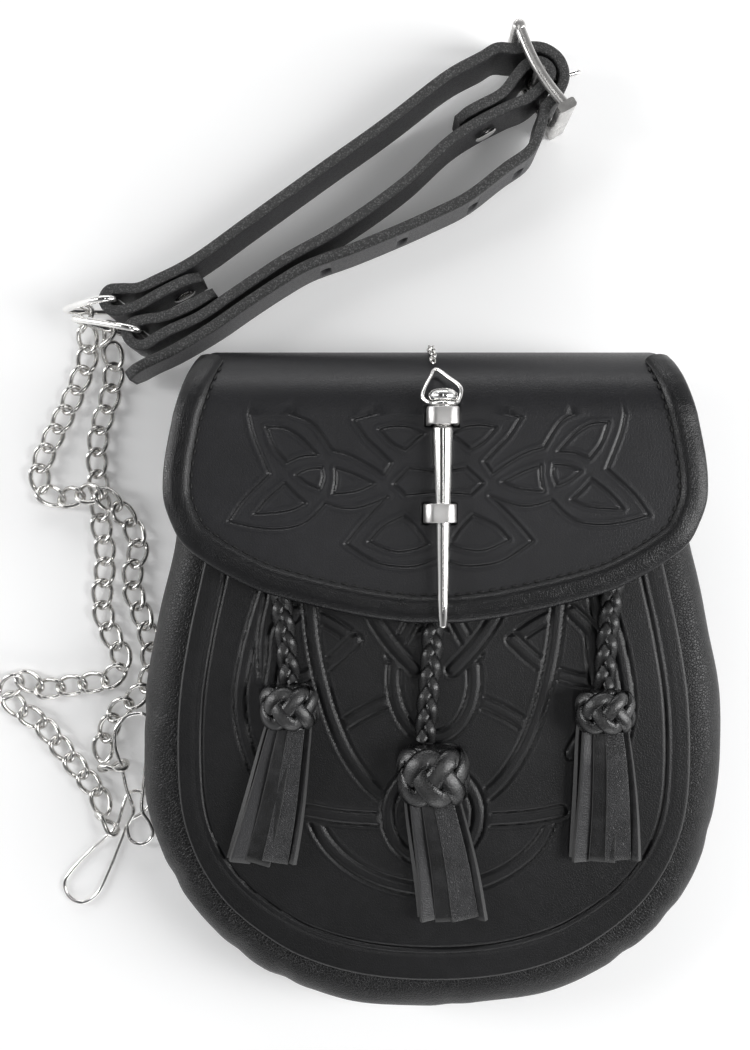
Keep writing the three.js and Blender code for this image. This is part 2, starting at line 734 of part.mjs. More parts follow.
function makeRing(ring) {
  const corners = Object.values(ringCorners(ring));
  return wireLoop(roundCorners(corners, RING.cornerRadius), RING.wire, RING.sides);
}

// Chains: the middles of the links follow these routes on the floor
const CHAIN_ROUTES = {
  a: [
    [-109.6, 51.4, 2.6], [-110, 44, 2.5], [-112.5, 37.5, 2.5], [-115.5, 30.5, 2.5], [-119, 23.5, 2.5],
    [-122.5, 16.5, 2.5], [-125, 9, 2.5], [-123.5, 2.6, 2.5], [-117.5, 0.6, 2.6], [-111, 1.8, 4.9],
    [-105, 1.6, 6.7], [-99.5, -2.6, 5.2], [-95.5, -8.4, 2.5], [-93.4, -15, 2.5], [-95, -22, 2.5],
    [-95, -29, 2.5], [-92.5, -36, 2.5], [-90.2, -43, 2.5], [-89.2, -50.5, 2.5], [-90, -57.5, 2.5],
    [-94.4, -63.4, 2.5], [-100, -67.8, 2.5], [-103, -73.6, 2.5], [-104.6, -80, 2.6],
  ],
  b: [
    [-101.5, 46.2, 2.2], [-101.4, 39, 2.5], [-103, 31, 2.5], [-105.6, 23, 2.5], [-106.6, 15, 2.5],
    [-106.4, 7.5, 2.5], [-105.6, 0, 2.5], [-105.4, -7.5, 2.5], [-104.2, -15, 2.5], [-104.2, -22.5, 2.5],
    [-105, -30, 2.5], [-104.4, -37.4, 2.5], [-101.6, -44.4, 2.5], [-98.8, -51, 2.5], [-102, -57, 2.5],
    [-109, -58.6, 2.5], [-116.5, -59.6, 2.5], [-124, -60.4, 2.5], [-130.6, -57.6, 2.5],
    [-135.4, -61.4, 2.5], [-131.4, -67.2, 2.5], [-125, -71.2, 2.5], [-120, -77, 2.5],
    [-115.2, -83, 2.5], [-110.4, -89, 2.5], [-106, -95, 2.4],
  ],
};

// The wires that each chain's first and last links go round, and the way to them
const CHAIN_ENDS = {
  a: {
    first: { wire: 'ring_upper', at: 0.52, towards: [0, 0.8, 0.6] },
    last: { point: [-98.4, -84.8, 3.9], wireWay: [0.15, -0.98, 0], towards: [1, 0.05, 0] },
  },
  b: {
    first: { wire: 'ring_lower', at: 0.39, towards: [0, 0.75, 0.66] },
    last: { point: [-101.4, -105.4, 3.9], wireWay: [-0.72, -0.7, 0], towards: [0.6, -0.8, 0] },
  },
};

function endLink({ point, wireWay, towards }, wireRadius) {
  const normal = wireWay.clone().normalize();
  const along = towards.clone().addScaledVector(normal, -towards.dot(normal)).normalize();
  const inside = LINK.halfLength - LINK.wire - wireRadius - GAP;
  return { centre: point.clone().addScaledVector(along, -inside), along, normal };
}

function firstLink({ wire, at, towards }) {
  const { lowShoulder, apex } = ringCorners(strapRings.find((ring) => ring.name === wire));
  return endLink({
    point: lowShoulder.clone().lerp(apex, at),
    wireWay: apex.clone().sub(lowShoulder),
    towards: vec(...towards),
  }, RING.wire);
}

function lastLink({ point, wireWay, towards }) {
  return endLink({ point: vec(...point), wireWay: vec(...wireWay), towards: vec(...towards) }, CLIP.wire);
}

function chainLinks(name) {
  const first = firstLink(CHAIN_ENDS[name].first);
  const last = lastLink(CHAIN_ENDS[name].last);
  const points = [first.centre, ...CHAIN_ROUTES[name].map(([x, y, z]) => vec(x, y, z)), last.centre];
  const curve = new THREE.CatmullRomCurve3(points, false, 'centripetal');
  const count = Math.round(curve.getLength() / LINK.pitch);
  const links = [first];
  for (let i = 1; i < count; i += 1) {
    const along = curve.getTangentAt(i / count);
    const normal = up.clone().addScaledVector(along, -along.z).normalize();
    links.push({ centre: curve.getPointAt(i / count), along, normal });
  }
  return [...links, last].map((link) => ({ ...link, twist: LINK.twist }));
}

// One link: an oval bent like a propeller, so that links lie flat in a row
function linkPath({ centre, along, normal, twist }, count) {
  const across = normal.clone().cross(along);
  return Array.from({ length: count }, (_, i) => {
    const turn = (2 * Math.PI * i) / count;
    return centre.clone()
      .addScaledVector(along, LINK.halfLength * Math.cos(turn))
      .addScaledVector(across, LINK.halfWidth * Math.sin(turn))
      .addScaledVector(normal, twist * Math.sin(2 * turn));
  });
}

// A bead where two joined links come closest
function linkBead(a, b) {
  const [from, to] = [linkPath(a, 40), linkPath(b, 40)];
  let best = { distance: Infinity };
  for (const p of from) {
    for (const q of to) {
      const distance = p.distanceTo(q);
      if (distance < best.distance) best = { distance, middle: p.clone().lerp(q, 0.5) };
    }
  }
  const { x, y, z } = best.middle;
  const radius = Math.max(LINK.bead, best.distance / 2 + LINK.wire);
  return new THREE.OctahedronGeometry(radius, 0).translate(x, y, z);
}

function makeChainRun(links) {
  const parts = links.flatMap((link, i) => {
    const loop = wireLoop(linkPath(link, LINK.bends), LINK.wire, LINK.sides);
    return i ? [linkBead(links[i - 1], link), loop] : [loop];
  });
  return join(parts);
}

// Sprung wire clips: one wide loop and one narrow one, pinched between
const CLIP_WIRES = {
  clip_a: [
    [-91, -68.4, 4.9], [-96.4, -68.9, 5.2], [-100.2, -73.4, 5.2], [-100.2, -79.4, 4.8], [-98.6, -84.8, 3.9],
    [-96.8, -92.4, 4.4], [-94.6, -99.4, 4.6], [-96.6, -104.6, 3.8], [-95.4, -109, 3.4], [-91.6, -110, 3.4],
    [-88.6, -107.2, 3.4], [-89.6, -103.2, 3.8], [-91.8, -99.2, 4.6], [-91.6, -92, 4], [-90.4, -82, 3.4],
    [-89.2, -73, 3.2],
  ],
  clip_b: [
    [-89.6, -96.8, 1], [-92.2, -93.8, 1], [-96.6, -94.2, 1], [-98.6, -98.6, 1.4], [-100, -104, 3.9],
    [-103, -107.2, 3.7], [-108.4, -112.2, 1], [-114.6, -118.6, 1], [-117.4, -123.4, 1], [-115.6, -127.8, 1],
    [-111.4, -129.4, 1], [-107, -126.8, 1], [-102.8, -118.6, 1], [-99.2, -109.6, 1], [-96.4, -103.2, 1],
    [-92.4, -100.6, 1],
  ],
};

function makeClip(route) {
  return wireLoop(route.map(([x, y, z]) => vec(x, y, z)), CLIP.wire, CLIP.sides);
}

// The plain strip across the back that the belt passes behind
function makeBeltStrip() {
  const { width, depth, thickness } = BELT_STRIP;
  return box(width, depth, thickness, 0, 0, thickness / 2);
}

// The body
piece('gusset', makeGusset(), pebbledLeather);
piece('front_panel', makeFrontPanel(), smoothLeather);
piece('back_and_flap', makeBackAndFlap(), smoothLeather);
piece('flap_binding', makeBinding(), smoothLeather);
piece('back_strap', makeBeltStrip(), strapLeather);

// The fastening
for (const staple of staples) piece(staple.name, makeStaple(staple), satin);
piece('pin', makePin(), polished);
piece('pin_bail', makeBail(), polished);
piece('pin_chain', makePinChain(), polished);
piece('chain_rivet', makeChainRivet(), polished);

for (const { side, braid, knot, skirt } of tassels) {
  piece(`tassel_${side}_braid`, makeBraid(braid), tasselLeather);
  piece(`tassel_${side}_knot`, makeKnot(knot), tasselLeather);
  piece(`tassel_${side}_skirt`, makeSkirt(knot, skirt), tasselLeather);
}

// The straps, their rivets, the buckle and the rings
const longStrap = cut(makeStrap(LONG_ROUTE), [
  ...rivets.slice(0, 1).map(rivetHole),
  ...STRAP_HOLES.map(strapHole),
  ...prongRoom(),
]);
const shortStrap = cut(makeStrap(SHORT_ROUTE), [...rivets.slice(1).map(rivetHole), ...prongRoom()]);
piece('strap_long', longStrap, strapLeather);
piece('strap_short', shortStrap, strapLeather);
for (const rivet of rivets) piece(rivet.name, makeRivet(rivet), polished);
piece('buckle_frame', makeBuckleFrame(), polished);
piece('buckle_prong', makeProng(), polished);
for (const ring of strapRings) piece(ring.name, makeRing(ring), polished);

// The chains in runs, which link freely into each other where the chain lies straightest
const RUNS = 4;
function chainBreaks(links) {
  const bend = (i) => links[i].along.angleTo(links[i - 1].along);
  const nominal = Array.from({ length: RUNS - 1 }, (_, run) => Math.round((links.length * (run + 1)) / RUNS));
  const straightest = (best, j) => (bend(j) < bend(best) ? j : best);
  return nominal.map((i) => [i - 2, i - 1, i, i + 1, i + 2].reduce(straightest));
}
for (const name of ['a', 'b']) {
  const links = chainLinks(name);
  const breaks = [0, ...chainBreaks(links), links.length];
  for (const i of breaks.slice(1, -1)) {
    links[i - 1].twist = LINK.openTwist;
    links[i].twist = LINK.openTwist;
  }
  for (let run = 0; run < RUNS; run += 1) {
    piece(`chain_${name}_${run + 1}`, makeChainRun(links.slice(breaks[run], breaks[run + 1])), polished);
  }
}
for (const [name, route] of Object.entries(CLIP_WIRES)) piece(name, makeClip(route), polished);

export default sporran;
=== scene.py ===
# Looks of a leather sporran pouch that lies on its back, built around its fixed frame
import math
import bmesh
import bpy
import numpy as np
from mathutils import Matrix, Vector


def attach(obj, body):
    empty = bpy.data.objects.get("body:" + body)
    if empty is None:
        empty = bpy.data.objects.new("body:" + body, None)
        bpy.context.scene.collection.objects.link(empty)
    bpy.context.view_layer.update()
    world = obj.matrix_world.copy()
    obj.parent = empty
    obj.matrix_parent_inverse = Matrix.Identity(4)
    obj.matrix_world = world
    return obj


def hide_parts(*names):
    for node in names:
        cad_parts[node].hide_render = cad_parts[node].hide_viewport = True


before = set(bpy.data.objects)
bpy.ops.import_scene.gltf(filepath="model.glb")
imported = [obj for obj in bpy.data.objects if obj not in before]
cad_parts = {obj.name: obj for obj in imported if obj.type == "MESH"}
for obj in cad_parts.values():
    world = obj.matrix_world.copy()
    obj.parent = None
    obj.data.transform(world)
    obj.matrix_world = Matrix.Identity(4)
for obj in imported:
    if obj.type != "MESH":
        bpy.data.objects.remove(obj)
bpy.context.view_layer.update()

millimetre = 0.001
print("frame loaded:", len(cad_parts), "nodes")


# Curves and meshes are worked out in millimetres

def softStep(value, low, high):
    share = np.clip((np.asarray(value, float) - low) / (high - low), 0, 1)
    return share * share * (3 - 2 * share)


def unit(vectors):
    vectors = np.asarray(vectors, float)
    return vectors / np.maximum(np.linalg.norm(vectors, axis=-1, keepdims=True), 1e-9)


# A smooth curve through points, which keeps close to them where they crowd
def smoothThrough(points, perSpan=12, closed=False):
    points = np.asarray(points, float)
    if closed:
        row = np.vstack([points[-1], points, points[:2]])
    else:
        row = np.vstack([2 * points[0] - points[1], points, 2 * points[-1] - points[-2]])
    made = []
    for before, start, end, after in zip(row, row[1:], row[2:], row[3:]):
        first, here, last = [max(float(np.sum((b - a) ** 2)) ** 0.25, 1e-4)
                             for a, b in ((before, start), (start, end), (end, after))]
        leave = ((start - before) / first - (end - before) / (first + here) + (end - start) / here) * here
        arrive = ((end - start) / here - (after - start) / (here + last) + (after - end) / last) * here
        t = (np.arange(perSpan) / perSpan)[:, None]
        made.append(start + leave * t + (3 * (end - start) - 2 * leave - arrive) * t ** 2
                    + (2 * (start - end) + leave + arrive) * t ** 3)
    curve = np.vstack(made)
    return curve if closed else np.vstack([curve, points[-1]])


def pathLength(points):
    return float(np.sum(np.linalg.norm(np.diff(points, axis=0), axis=1)))


def evenly(points, count, closed=False):
    points = np.asarray(points, float)
    if closed:
        points = np.vstack([points, points[0]])
    along = np.concatenate([[0], np.cumsum(np.linalg.norm(np.diff(points, axis=0), axis=1))])
    places = np.linspace(0, along[-1], count + 1 if closed else count)
    even = np.stack([np.interp(places, along, points[:, i]) for i in range(points.shape[1])], axis=1)
    return even[:-1] if closed else even


def tangentsOf(points, closed=False):
    if closed:
        return unit(np.roll(points, -1, axis=0) - np.roll(points, 1, axis=0))
    return unit(np.gradient(points, axis=0))


# Sets an outline across a path at each of its points: side by side, and up along lift
def sweepRings(path, outline, lift, closed=False):
    path = np.asarray(path, float)
    tangents = tangentsOf(path, closed)
    lift = np.broadcast_to(np.asarray(lift, float), path.shape)
    side = unit(np.cross(tangents, lift))
    lift = unit(np.cross(side, tangents))
    outline = np.broadcast_to(np.asarray(outline, float), (len(path),) + np.shape(outline)[-2:])
    return path[:, None] + side[:, None] * outline[..., :1] + lift[:, None] * outline[..., 1:]


# A lift that turns as little as it can along a wire
def easyLift(path, start, closed=False):
    tangents = tangentsOf(path, closed)
    lifts = []
    lift = np.asarray(start, float)
    for tangent in tangents:
        lift = unit(lift - tangent * np.dot(lift, tangent))
        lifts.append(lift)
    return np.array(lifts)


def oval(width, height, count=12):
    turn = np.linspace(0, 2 * math.pi, count, endpoint=False)
    return np.stack([np.cos(turn) * width / 2, np.sin(turn) * height / 2], axis=1)


def roundedBox(width, height, corner, perCorner=3):
    points = []
    for quarter, (x, y) in enumerate([(1, 1), (-1, 1), (-1, -1), (1, -1)]):
        for step in range(perCorner + 1):
            turn = math.radians(90 * (quarter + step / perCorner))
            points.append((x * (width / 2 - corner) + corner * math.cos(turn),
                           y * (height / 2 - corner) + corner * math.sin(turn)))
    return np.array(points)


def loft(rings, closed=False):
    rings = np.asarray(rings, float)
    count, size, _ = rings.shape
    faces = []
    for i in range(count if closed else count - 1):
        here, there = i * size, (i + 1) % count * size
        faces += [(here + k, here + (k + 1) % size, there + (k + 1) % size, there + k) for k in range(size)]
    if not closed:
        faces += [tuple(range(size))[::-1], tuple(range((count - 1) * size, count * size))]
    return rings.reshape(-1, 3), faces


# A closed round wire through points
def wire(points, radius, sides=12, spacing=0.8):
    path = smoothThrough(points, 12, True)
    path = evenly(path, max(8, int(pathLength(path) / spacing)), True)
    lift = easyLift(path, (0.1, 0.2, 1), True)
    return loft(sweepRings(path, oval(2, 2, sides) * radius, lift, True), True)


# Turns a profile of (distance along, radius) about an axis
def turned(profile, origin, axis, sides):
    axis = unit(axis)
    first = unit(np.cross(axis, (0, 0, 1) if abs(axis[2]) < 0.9 else (0, 1, 0)))
    second = np.cross(axis, first)
    turn = np.linspace(0, 2 * math.pi, sides, endpoint=False)
    circle = np.cos(turn)[:, None] * first + np.sin(turn)[:, None] * second
    return loft([np.asarray(origin) + axis * along + circle * max(radius, 0.01)
                 for along, radius in profile])


def gather(shapes):
    points, faces, start = [], [], 0
    for shapePoints, shapeFaces in shapes:
        points.append(np.asarray(shapePoints, float))
        faces += [tuple(index + start for index in face) for face in shapeFaces]
        start += len(shapePoints)
    return np.vstack(points), faces


def makeMesh(name, shape, attributes=None, sharpAngle=40):
    points, faces = shape
    mesh = bpy.data.meshes.new(name)
    mesh.from_pydata((np.asarray(points) * millimetre).tolist(), [], faces)
    for key, values in (attributes or {}).items():
        layer = mesh.attributes.new(key, "FLOAT", "POINT")
        layer.data.foreach_set("value", np.asarray(values, np.float32).ravel())
    body = bmesh.new()
    body.from_mesh(mesh)
    bmesh.ops.remove_doubles(body, verts=body.verts, dist=0.002 * millimetre)
    bmesh.ops.triangulate(body, faces=[face for face in body.faces if len(face.verts) > 4])
    bmesh.ops.recalc_face_normals(body, faces=body.faces)
    for face in body.faces:
        face.smooth = True
    for edge in body.edges:
        if len(edge.link_faces) == 2 and edge.calc_face_angle(0) > math.radians(sharpAngle):
            edge.smooth = False
    body.to_mesh(mesh)
    body.free()
    return mesh


def addObject(name, data):
    added = bpy.data.objects.new(name, data)
    bpy.context.scene.collection.objects.link(added)
    return added


def makePiece(name, mesh, finish, slotName, *nodes):
    if not isinstance(mesh, bpy.types.Mesh):
        mesh = makeMesh(name, mesh)
    mesh.materials.clear()
    mesh.materials.append(finish)
    piece = addObject(name, mesh)
    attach(piece, "root")
    if nodes:
        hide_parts(*nodes)
    return piece


# Camera, floor and light

view = {"centre": (-17.5, -8.0), "height": 430, "lens": 45.7}
cameraData = bpy.data.cameras.new("camera")
cameraData.lens = view["lens"]
cameraData.sensor_width = 36
cameraData.clip_start = 0.01
camera = addObject("camera", cameraData)
camera.location = Vector((*view["centre"], view["height"])) * millimetre
bpy.context.scene.camera = camera


# A value or colour in a material; maths on it adds the nodes
class Shade:
    def __init__(self, finish, socket):
        self.finish = finish
        self.socket = socket

    def maths(self, operation, *values):
        return self.finish.node("ShaderNodeMath", {"operation": operation}, dict(enumerate(values)))

    def __add__(self, other):
        return self.maths("ADD", self, other)

    def __radd__(self, other):
        return self.maths("ADD", other, self)

    def __sub__(self, other):
        return self.maths("SUBTRACT", self, other)

    def __rsub__(self, other):
        return self.maths("SUBTRACT", other, self)

    def __mul__(self, other):
        return self.maths("MULTIPLY", self, other)

    def __rmul__(self, other):
        return self.maths("MULTIPLY", other, self)

    def between(self, low, high):
        return self.finish.node("ShaderNodeMapRange", {"interpolation_type": "SMOOTHSTEP", "clamp": True},
                                {"Value": self, "From Min": low, "From Max": high})


class Finish:
    def __init__(self, name):
        self.material = bpy.data.materials.new(name)
        self.material.use_nodes = True
        self.tree = self.material.node_tree
        self.surface = next(node for node in self.tree.nodes if node.type == "BSDF_PRINCIPLED")

    def feed(self, socket, value):
        if isinstance(value, Shade):
            self.tree.links.new(value.socket, socket)
        else:
            socket.default_value = value

    def node(self, kind, settings=None, sockets=None, output=0):
        made = self.tree.nodes.new(kind)
        for key, value in (settings or {}).items():
            setattr(made, key, value)
        for key, value in (sockets or {}).items():
            self.feed(made.inputs[key], value)
        return Shade(self, made.outputs[output])

    def place(self):
        return self.node("ShaderNodeTexCoord", output="Object")

    def attribute(self, name):
        return self.node("ShaderNodeAttribute", {"attribute_name": name}, output="Fac")

    def noise(self, place, scale, detail=2.0, roughness=0.5):
        return self.node("ShaderNodeTexNoise", {},
                         {"Vector": place, "Scale": scale, "Detail": detail, "Roughness": roughness})

    def colours(self, share, first, second):
        return self.node("ShaderNodeMix", {"data_type": "RGBA"}, {0: share, 6: first, 7: second}, 2)

    def bump(self, height, distance, strength=1.0, over=None):
        sockets = {"Height": height, "Distance": distance * millimetre, "Strength": strength}
        if over is not None:
            sockets["Normal"] = over
        return self.node("ShaderNodeBump", {}, sockets)

    def show(self, **values):
        for name, value in values.items():
            self.feed(self.surface.inputs[name.replace("_", " ")], value)
        return self.material


def grey(value, blue=1.0):
    return (value, value, value * blue, 1)


# One leather for every cut of it: grain cells, pores, broad unevenness, worn edges, painted highlights and
# sheen, painted shade in grooves and between strands, and flecks
def leatherFinish(name, cut):
    finish = Finish(name)
    place = finish.place()
    broad = finish.noise(place, cut["broadScale"], 3.0)
    mottle = finish.noise(place, cut["mottleScale"], 4.0, 0.6)
    warped = finish.node("ShaderNodeVectorMath", {"operation": "MULTIPLY_ADD"},
                         {0: mottle, 1: (cut["grain"] * 0.0007,) * 3, 2: place}, 0)
    cells = finish.node("ShaderNodeTexVoronoi", {"feature": "DISTANCE_TO_EDGE"},
                        {"Vector": warped, "Scale": 1000 / cut["grain"]}, 0)
    fine = finish.noise(place, 1000 / cut["pores"], 2.0)
    worn = finish.attribute("worn")
    pressed = finish.attribute("pressed")
    toneAndSheen = finish.attribute("toneAndSheen")
    grainy = finish.attribute("grainy")
    plump = cells.between(0.0, 0.22)
    # Lighter where the tone mark is set: a skirt strip's own tone, and painted sheen along the binding's
    # outer roll
    share = mottle.between(0.35, 0.7) * 0.5 + broad.between(0.3, 0.75) * 0.5 + toneAndSheen
    share = (share + grainy * plump * 0.6).between(0.0, 1.6)
    colour = finish.colours(share, grey(cut["dark"], cut["blue"]), grey(cut["light"], cut["blue"]))
    # Lighter where the wear mark is set: real wear on strap and strip edges, and painted highlights along
    # strand middles, the flap's fold, the front panel's rim and the binding's inner edge
    colour = finish.colours(worn * cut["wornShare"], colour, grey(cut["worn"], 1.0))
    # Darker where the shade mark is set: painted shade in tooled grooves, slots, knot cores and along strand
    # edges
    colour = finish.colours(pressed * cut["pressedShare"], colour, grey(cut["dark"] * 0.45, cut["blue"]))
    # Light flecks on worn places: real flecks on the strap's raw edges, painted glints along the braids'
    # highlight ridges
    flecksAndGlints = finish.noise(place, cut["fleckScale"], 3.0, 0.7)
    flecksAndGlints = flecksAndGlints.between(cut["fleckFrom"], cut["fleckFrom"] + 0.14) * worn
    colour = finish.colours(flecksAndGlints * cut["fleckAndGlintShare"], colour, grey(cut["fleckAndGlint"], 1.0))
    rough = (broad - 0.5) * cut["roughSpread"] + (1 - plump) * 0.08 + worn * cut["wornRough"]
    rough = rough + cut["rough"] - pressed * 0.06 - toneAndSheen * 0.1
    height = plump * (grainy * 1.6 + cut["grainShare"]) + fine * (1 - cut["grainShare"]) + flecksAndGlints * 0.5
    normal = finish.bump(height, cut["bump"], 0.9)
    normal = finish.bump(broad, cut["sway"], 0.6, normal)
    finish.surface.inputs["Specular IOR Level"].default_value = cut["specular"]
    return finish.show(Base_Color=colour, Roughness=rough, Normal=normal)


plainLeather = {
    "dark": 0.008, "light": 0.017, "blue": 1.14, "worn": 0.06, "fleckAndGlint": 0.12,
    "broadScale": 26.0, "mottleScale": 240.0, "fleckScale": 900.0,
    "grain": 0.9, "pores": 0.35, "grainShare": 0.35, "bump": 0.05, "sway": 0.5,
    "rough": 0.4, "roughSpread": 0.16, "wornShare": 0.8, "wornRough": 0.12,
    "pressedShare": 0.6, "fleckAndGlintShare": 0.0, "fleckFrom": 0.58, "specular": 0.42,
}
flapLeather = leatherFinish("flapLeather", plainLeather | {"rough": 0.36, "light": 0.018, "dark": 0.011})
panelLeather = leatherFinish("panelLeather", plainLeather | {
    "grain": 0.75, "grainShare": 0.6, "bump": 0.045, "rough": 0.36, "dark": 0.004, "light": 0.009})
bindingLeather = leatherFinish("bindingLeather", plainLeather | {
    "grain": 0.7, "grainShare": 0.55, "bump": 0.06, "rough": 0.3, "dark": 0.004, "light": 0.009})
pebbledLeather = leatherFinish("pebbledLeather", plainLeather | {
    "grain": 0.85, "grainShare": 0.85, "bump": 0.13, "rough": 0.4, "dark": 0.003, "light": 0.007,
    "sway": 0.7})
# On braids and knots the light flecks are painted glints along the strands' painted highlights
braidLeather = leatherFinish("braidLeather", plainLeather | {
    "grain": 0.8, "grainShare": 0.5, "bump": 0.05, "dark": 0.003, "light": 0.010, "sway": 0.5,
    "worn": 0.045, "wornRough": 0.0, "pressedShare": 0.9, "rough": 0.26, "specular": 0.6,
    "fleckAndGlintShare": 0.35, "fleckAndGlint": 0.14, "fleckScale": 900.0})
tasselLeather = leatherFinish("tasselLeather", plainLeather | {
    "grain": 0.7, "grainShare": 0.35, "bump": 0.07, "rough": 0.4, "dark": 0.004, "light": 0.032,
    "blue": 1.05, "worn": 0.07, "wornShare": 0.8})
strapLeather = leatherFinish("strapLeather", plainLeather | {
    "grain": 1.2, "grainShare": 0.4, "bump": 0.09, "rough": 0.4, "dark": 0.012, "light": 0.026,
    "worn": 0.034, "wornShare": 0.9, "wornRough": 0.3, "fleckAndGlintShare": 0.9, "fleckAndGlint": 0.12, "fleckScale": 1900.0,
    "fleckFrom": 0.5})


def metalFinish(name, cut):
    finish = Finish(name)
    place = finish.place()
    smudges = finish.noise(place, cut["smudgeScale"], 3.0)
    stretch = finish.node("ShaderNodeMapping", {}, {"Vector": place, "Scale": cut["stretch"]})
    brushed = finish.noise(stretch, cut["brushScale"], 2.0)
    colour = finish.colours(smudges.between(0.3, 0.75), cut["first"], cut["second"])
    rough = cut["rough"] + smudges * cut["roughSpread"] + brushed * cut["brushRough"]
    normal = finish.bump(brushed, cut["bump"], 0.5)
    finish.surface.inputs["Metallic"].default_value = cut["metallic"]
    return finish.show(Base_Color=colour, Roughness=rough, Normal=normal)


plainMetal = {
    "smudgeScale": 160.0, "brushScale": 1200.0, "stretch": (1, 1, 1), "first": (0.90, 0.89, 0.87, 1),
    "second": (0.80, 0.79, 0.78, 1), "rough": 0.08, "roughSpread": 0.1, "brushRough": 0.06, "bump": 0.01,
    "metallic": 1.0,
}
polishedMetal = metalFinish("polishedMetal", plainMetal)
chainMetal = metalFinish("chainMetal", plainMetal | {
    "first": (0.72, 0.71, 0.69, 1), "second": (0.60, 0.59, 0.57, 1), "rough": 0.14})
satinMetal = metalFinish("satinMetal", plainMetal | {
    "first": (0.70, 0.69, 0.68, 1), "second": (0.58, 0.57, 0.56, 1), "rough": 0.24,
    "stretch": (0.12, 1, 1), "brushRough": 0.16, "bump": 0.02})
castMetal = metalFinish("castMetal", plainMetal | {
    "first": (0.74, 0.73, 0.71, 1), "second": (0.46, 0.45, 0.44, 1), "rough": 0.2, "metallic": 0.85})


def threadFinish():
    finish = Finish("waxedThread")
    place = finish.place()
    fibres = finish.noise(place, 1500.0, 3.0)
    colour = finish.colours(fibres, grey(0.004), grey(0.02))
    finish.surface.inputs["Specular IOR Level"].default_value = 0.35
    return finish.show(Base_Color=colour, Roughness=0.45 + fibres * 0.25, Normal=finish.bump(fibres, 0.08))


waxedThread = threadFinish()


def floorFinish():
    finish = Finish("paleFloor")
    cloud = finish.noise(finish.place(), 3.0)
    finish.surface.inputs["Emission Color"].default_value = grey(1.0)
    finish.surface.inputs["Emission Strength"].default_value = 0.12
    return finish.show(Base_Color=finish.colours(cloud, grey(0.92), grey(0.95)), Roughness=0.8)


def makeFloor(reach):
    mesh = bpy.data.meshes.new("floor")
    mesh.from_pydata([(-reach, -reach, 0), (reach, -reach, 0), (reach, reach, 0), (-reach, reach, 0)], [],
                     [(0, 1, 2, 3)])
    mesh.materials.append(floorFinish())
    addObject("floor", mesh)


makeFloor(12.0)


def makeLight(name, place, size, power):
    data = bpy.data.lights.new(name, "AREA")
    data.shape = "RECTANGLE"
    data.size, data.size_y = size
    data.energy = power
    light = addObject(name, data)
    light.location = place
    light.rotation_euler = (-Vector(place)).to_track_quat("-Z", "Y").to_euler()


lighting = [
    ("softboxRight", (0.8, -0.05, 0.62), (0.35, 0.9), 8.5),
    ("softboxLeft", (-0.9, 0.15, 0.42), (0.2, 0.9), 5),
    ("softboxFoot", (0.2, -1.0, 0.4), (1.0, 0.25), 2.6),
    ("softboxHead", (-0.1, 1.0, 0.42), (1.1, 0.14), 3.2),
    ("softboxAbove", (0.0, 0.0, 1.25), (0.10, 0.9), 1.1),
]
for entry in lighting:
    makeLight(*entry)
world = bpy.data.worlds.new("studio")
world.use_nodes = True
sky = {"overhead": 0.05, "around": 1.0, "strength": 0.62}
skyTree = world.node_tree
skyPlace, skySplit, skyRamp = (skyTree.nodes.new("ShaderNode" + kind)
                               for kind in ("TexCoord", "SeparateXYZ", "ValToRGB"))
background = skyTree.nodes["Background"]
skyStops = [(0.15, sky["around"]), (0.93, sky["overhead"])]
for stop, (position, value) in zip(skyRamp.color_ramp.elements, skyStops):
    stop.position = position
    stop.color = (value * 0.98, value * 0.985, value, 1)
for source, target in ((skyPlace.outputs["Generated"], skySplit.inputs[0]),
                       (skySplit.outputs["Z"], skyRamp.inputs[0]),
                       (skyRamp.outputs[0], background.inputs["Color"])):
    skyTree.links.new(source, target)
background.inputs["Strength"].default_value = sky["strength"]
bpy.context.scene.world = world
bpy.context.scene.view_settings.view_transform = "Standard"
print("camera, finishes, floor and light made")


# Tassels: a plaited cord from under the flap, a woven knot and a skirt of cut strips

panelTop = 34.7
tassels = {
    "cordWidth": 7.0, "cordDepth": 4.2, "strandWidth": 3.5, "strandDepth": 2.1, "plait": 19.0,
    "strandLean": 0.55, "perMillimetre": 3,
    "left": {
        "route": [[-47.5, -11.5], [-46.6, -20], [-45.4, -29], [-43.8, -43], [-42.6, -54.4]],
        "knot": (-42.5, -61, 18, 12.4, 14), "skirt": (-50.6, -107.5, 14.5, 24),
    },
    "middle": {
        "route": [[0.2, -28], [-0.3, -40], [-1.4, -55], [-2.8, -71.8]],
        "knot": (-0.6, -80.6, 22, 16.4, 16.5), "skirt": (5.6, -124.5, 17.5, 25),
    },
    "right": {
        "route": [[54.8, -12.5], [53.8, -22], [52.3, -30], [50.8, -46], [50.2, -55.8]],
        "knot": (49.6, -62.3, 18.2, 12, 14), "skirt": (50.4, -107, 16, 25),
    },
}


# A strand gets a painted highlight along its middle and painted shade along both edges
def strandMarks(outline, count):
    out = np.abs(outline[:, 0]) / np.abs(outline[:, 0]).max()
    return {"worn": np.tile((1 - out) ** 1.3, count), "pressed": np.tile(softStep(out, 0.55, 0.98), count)}


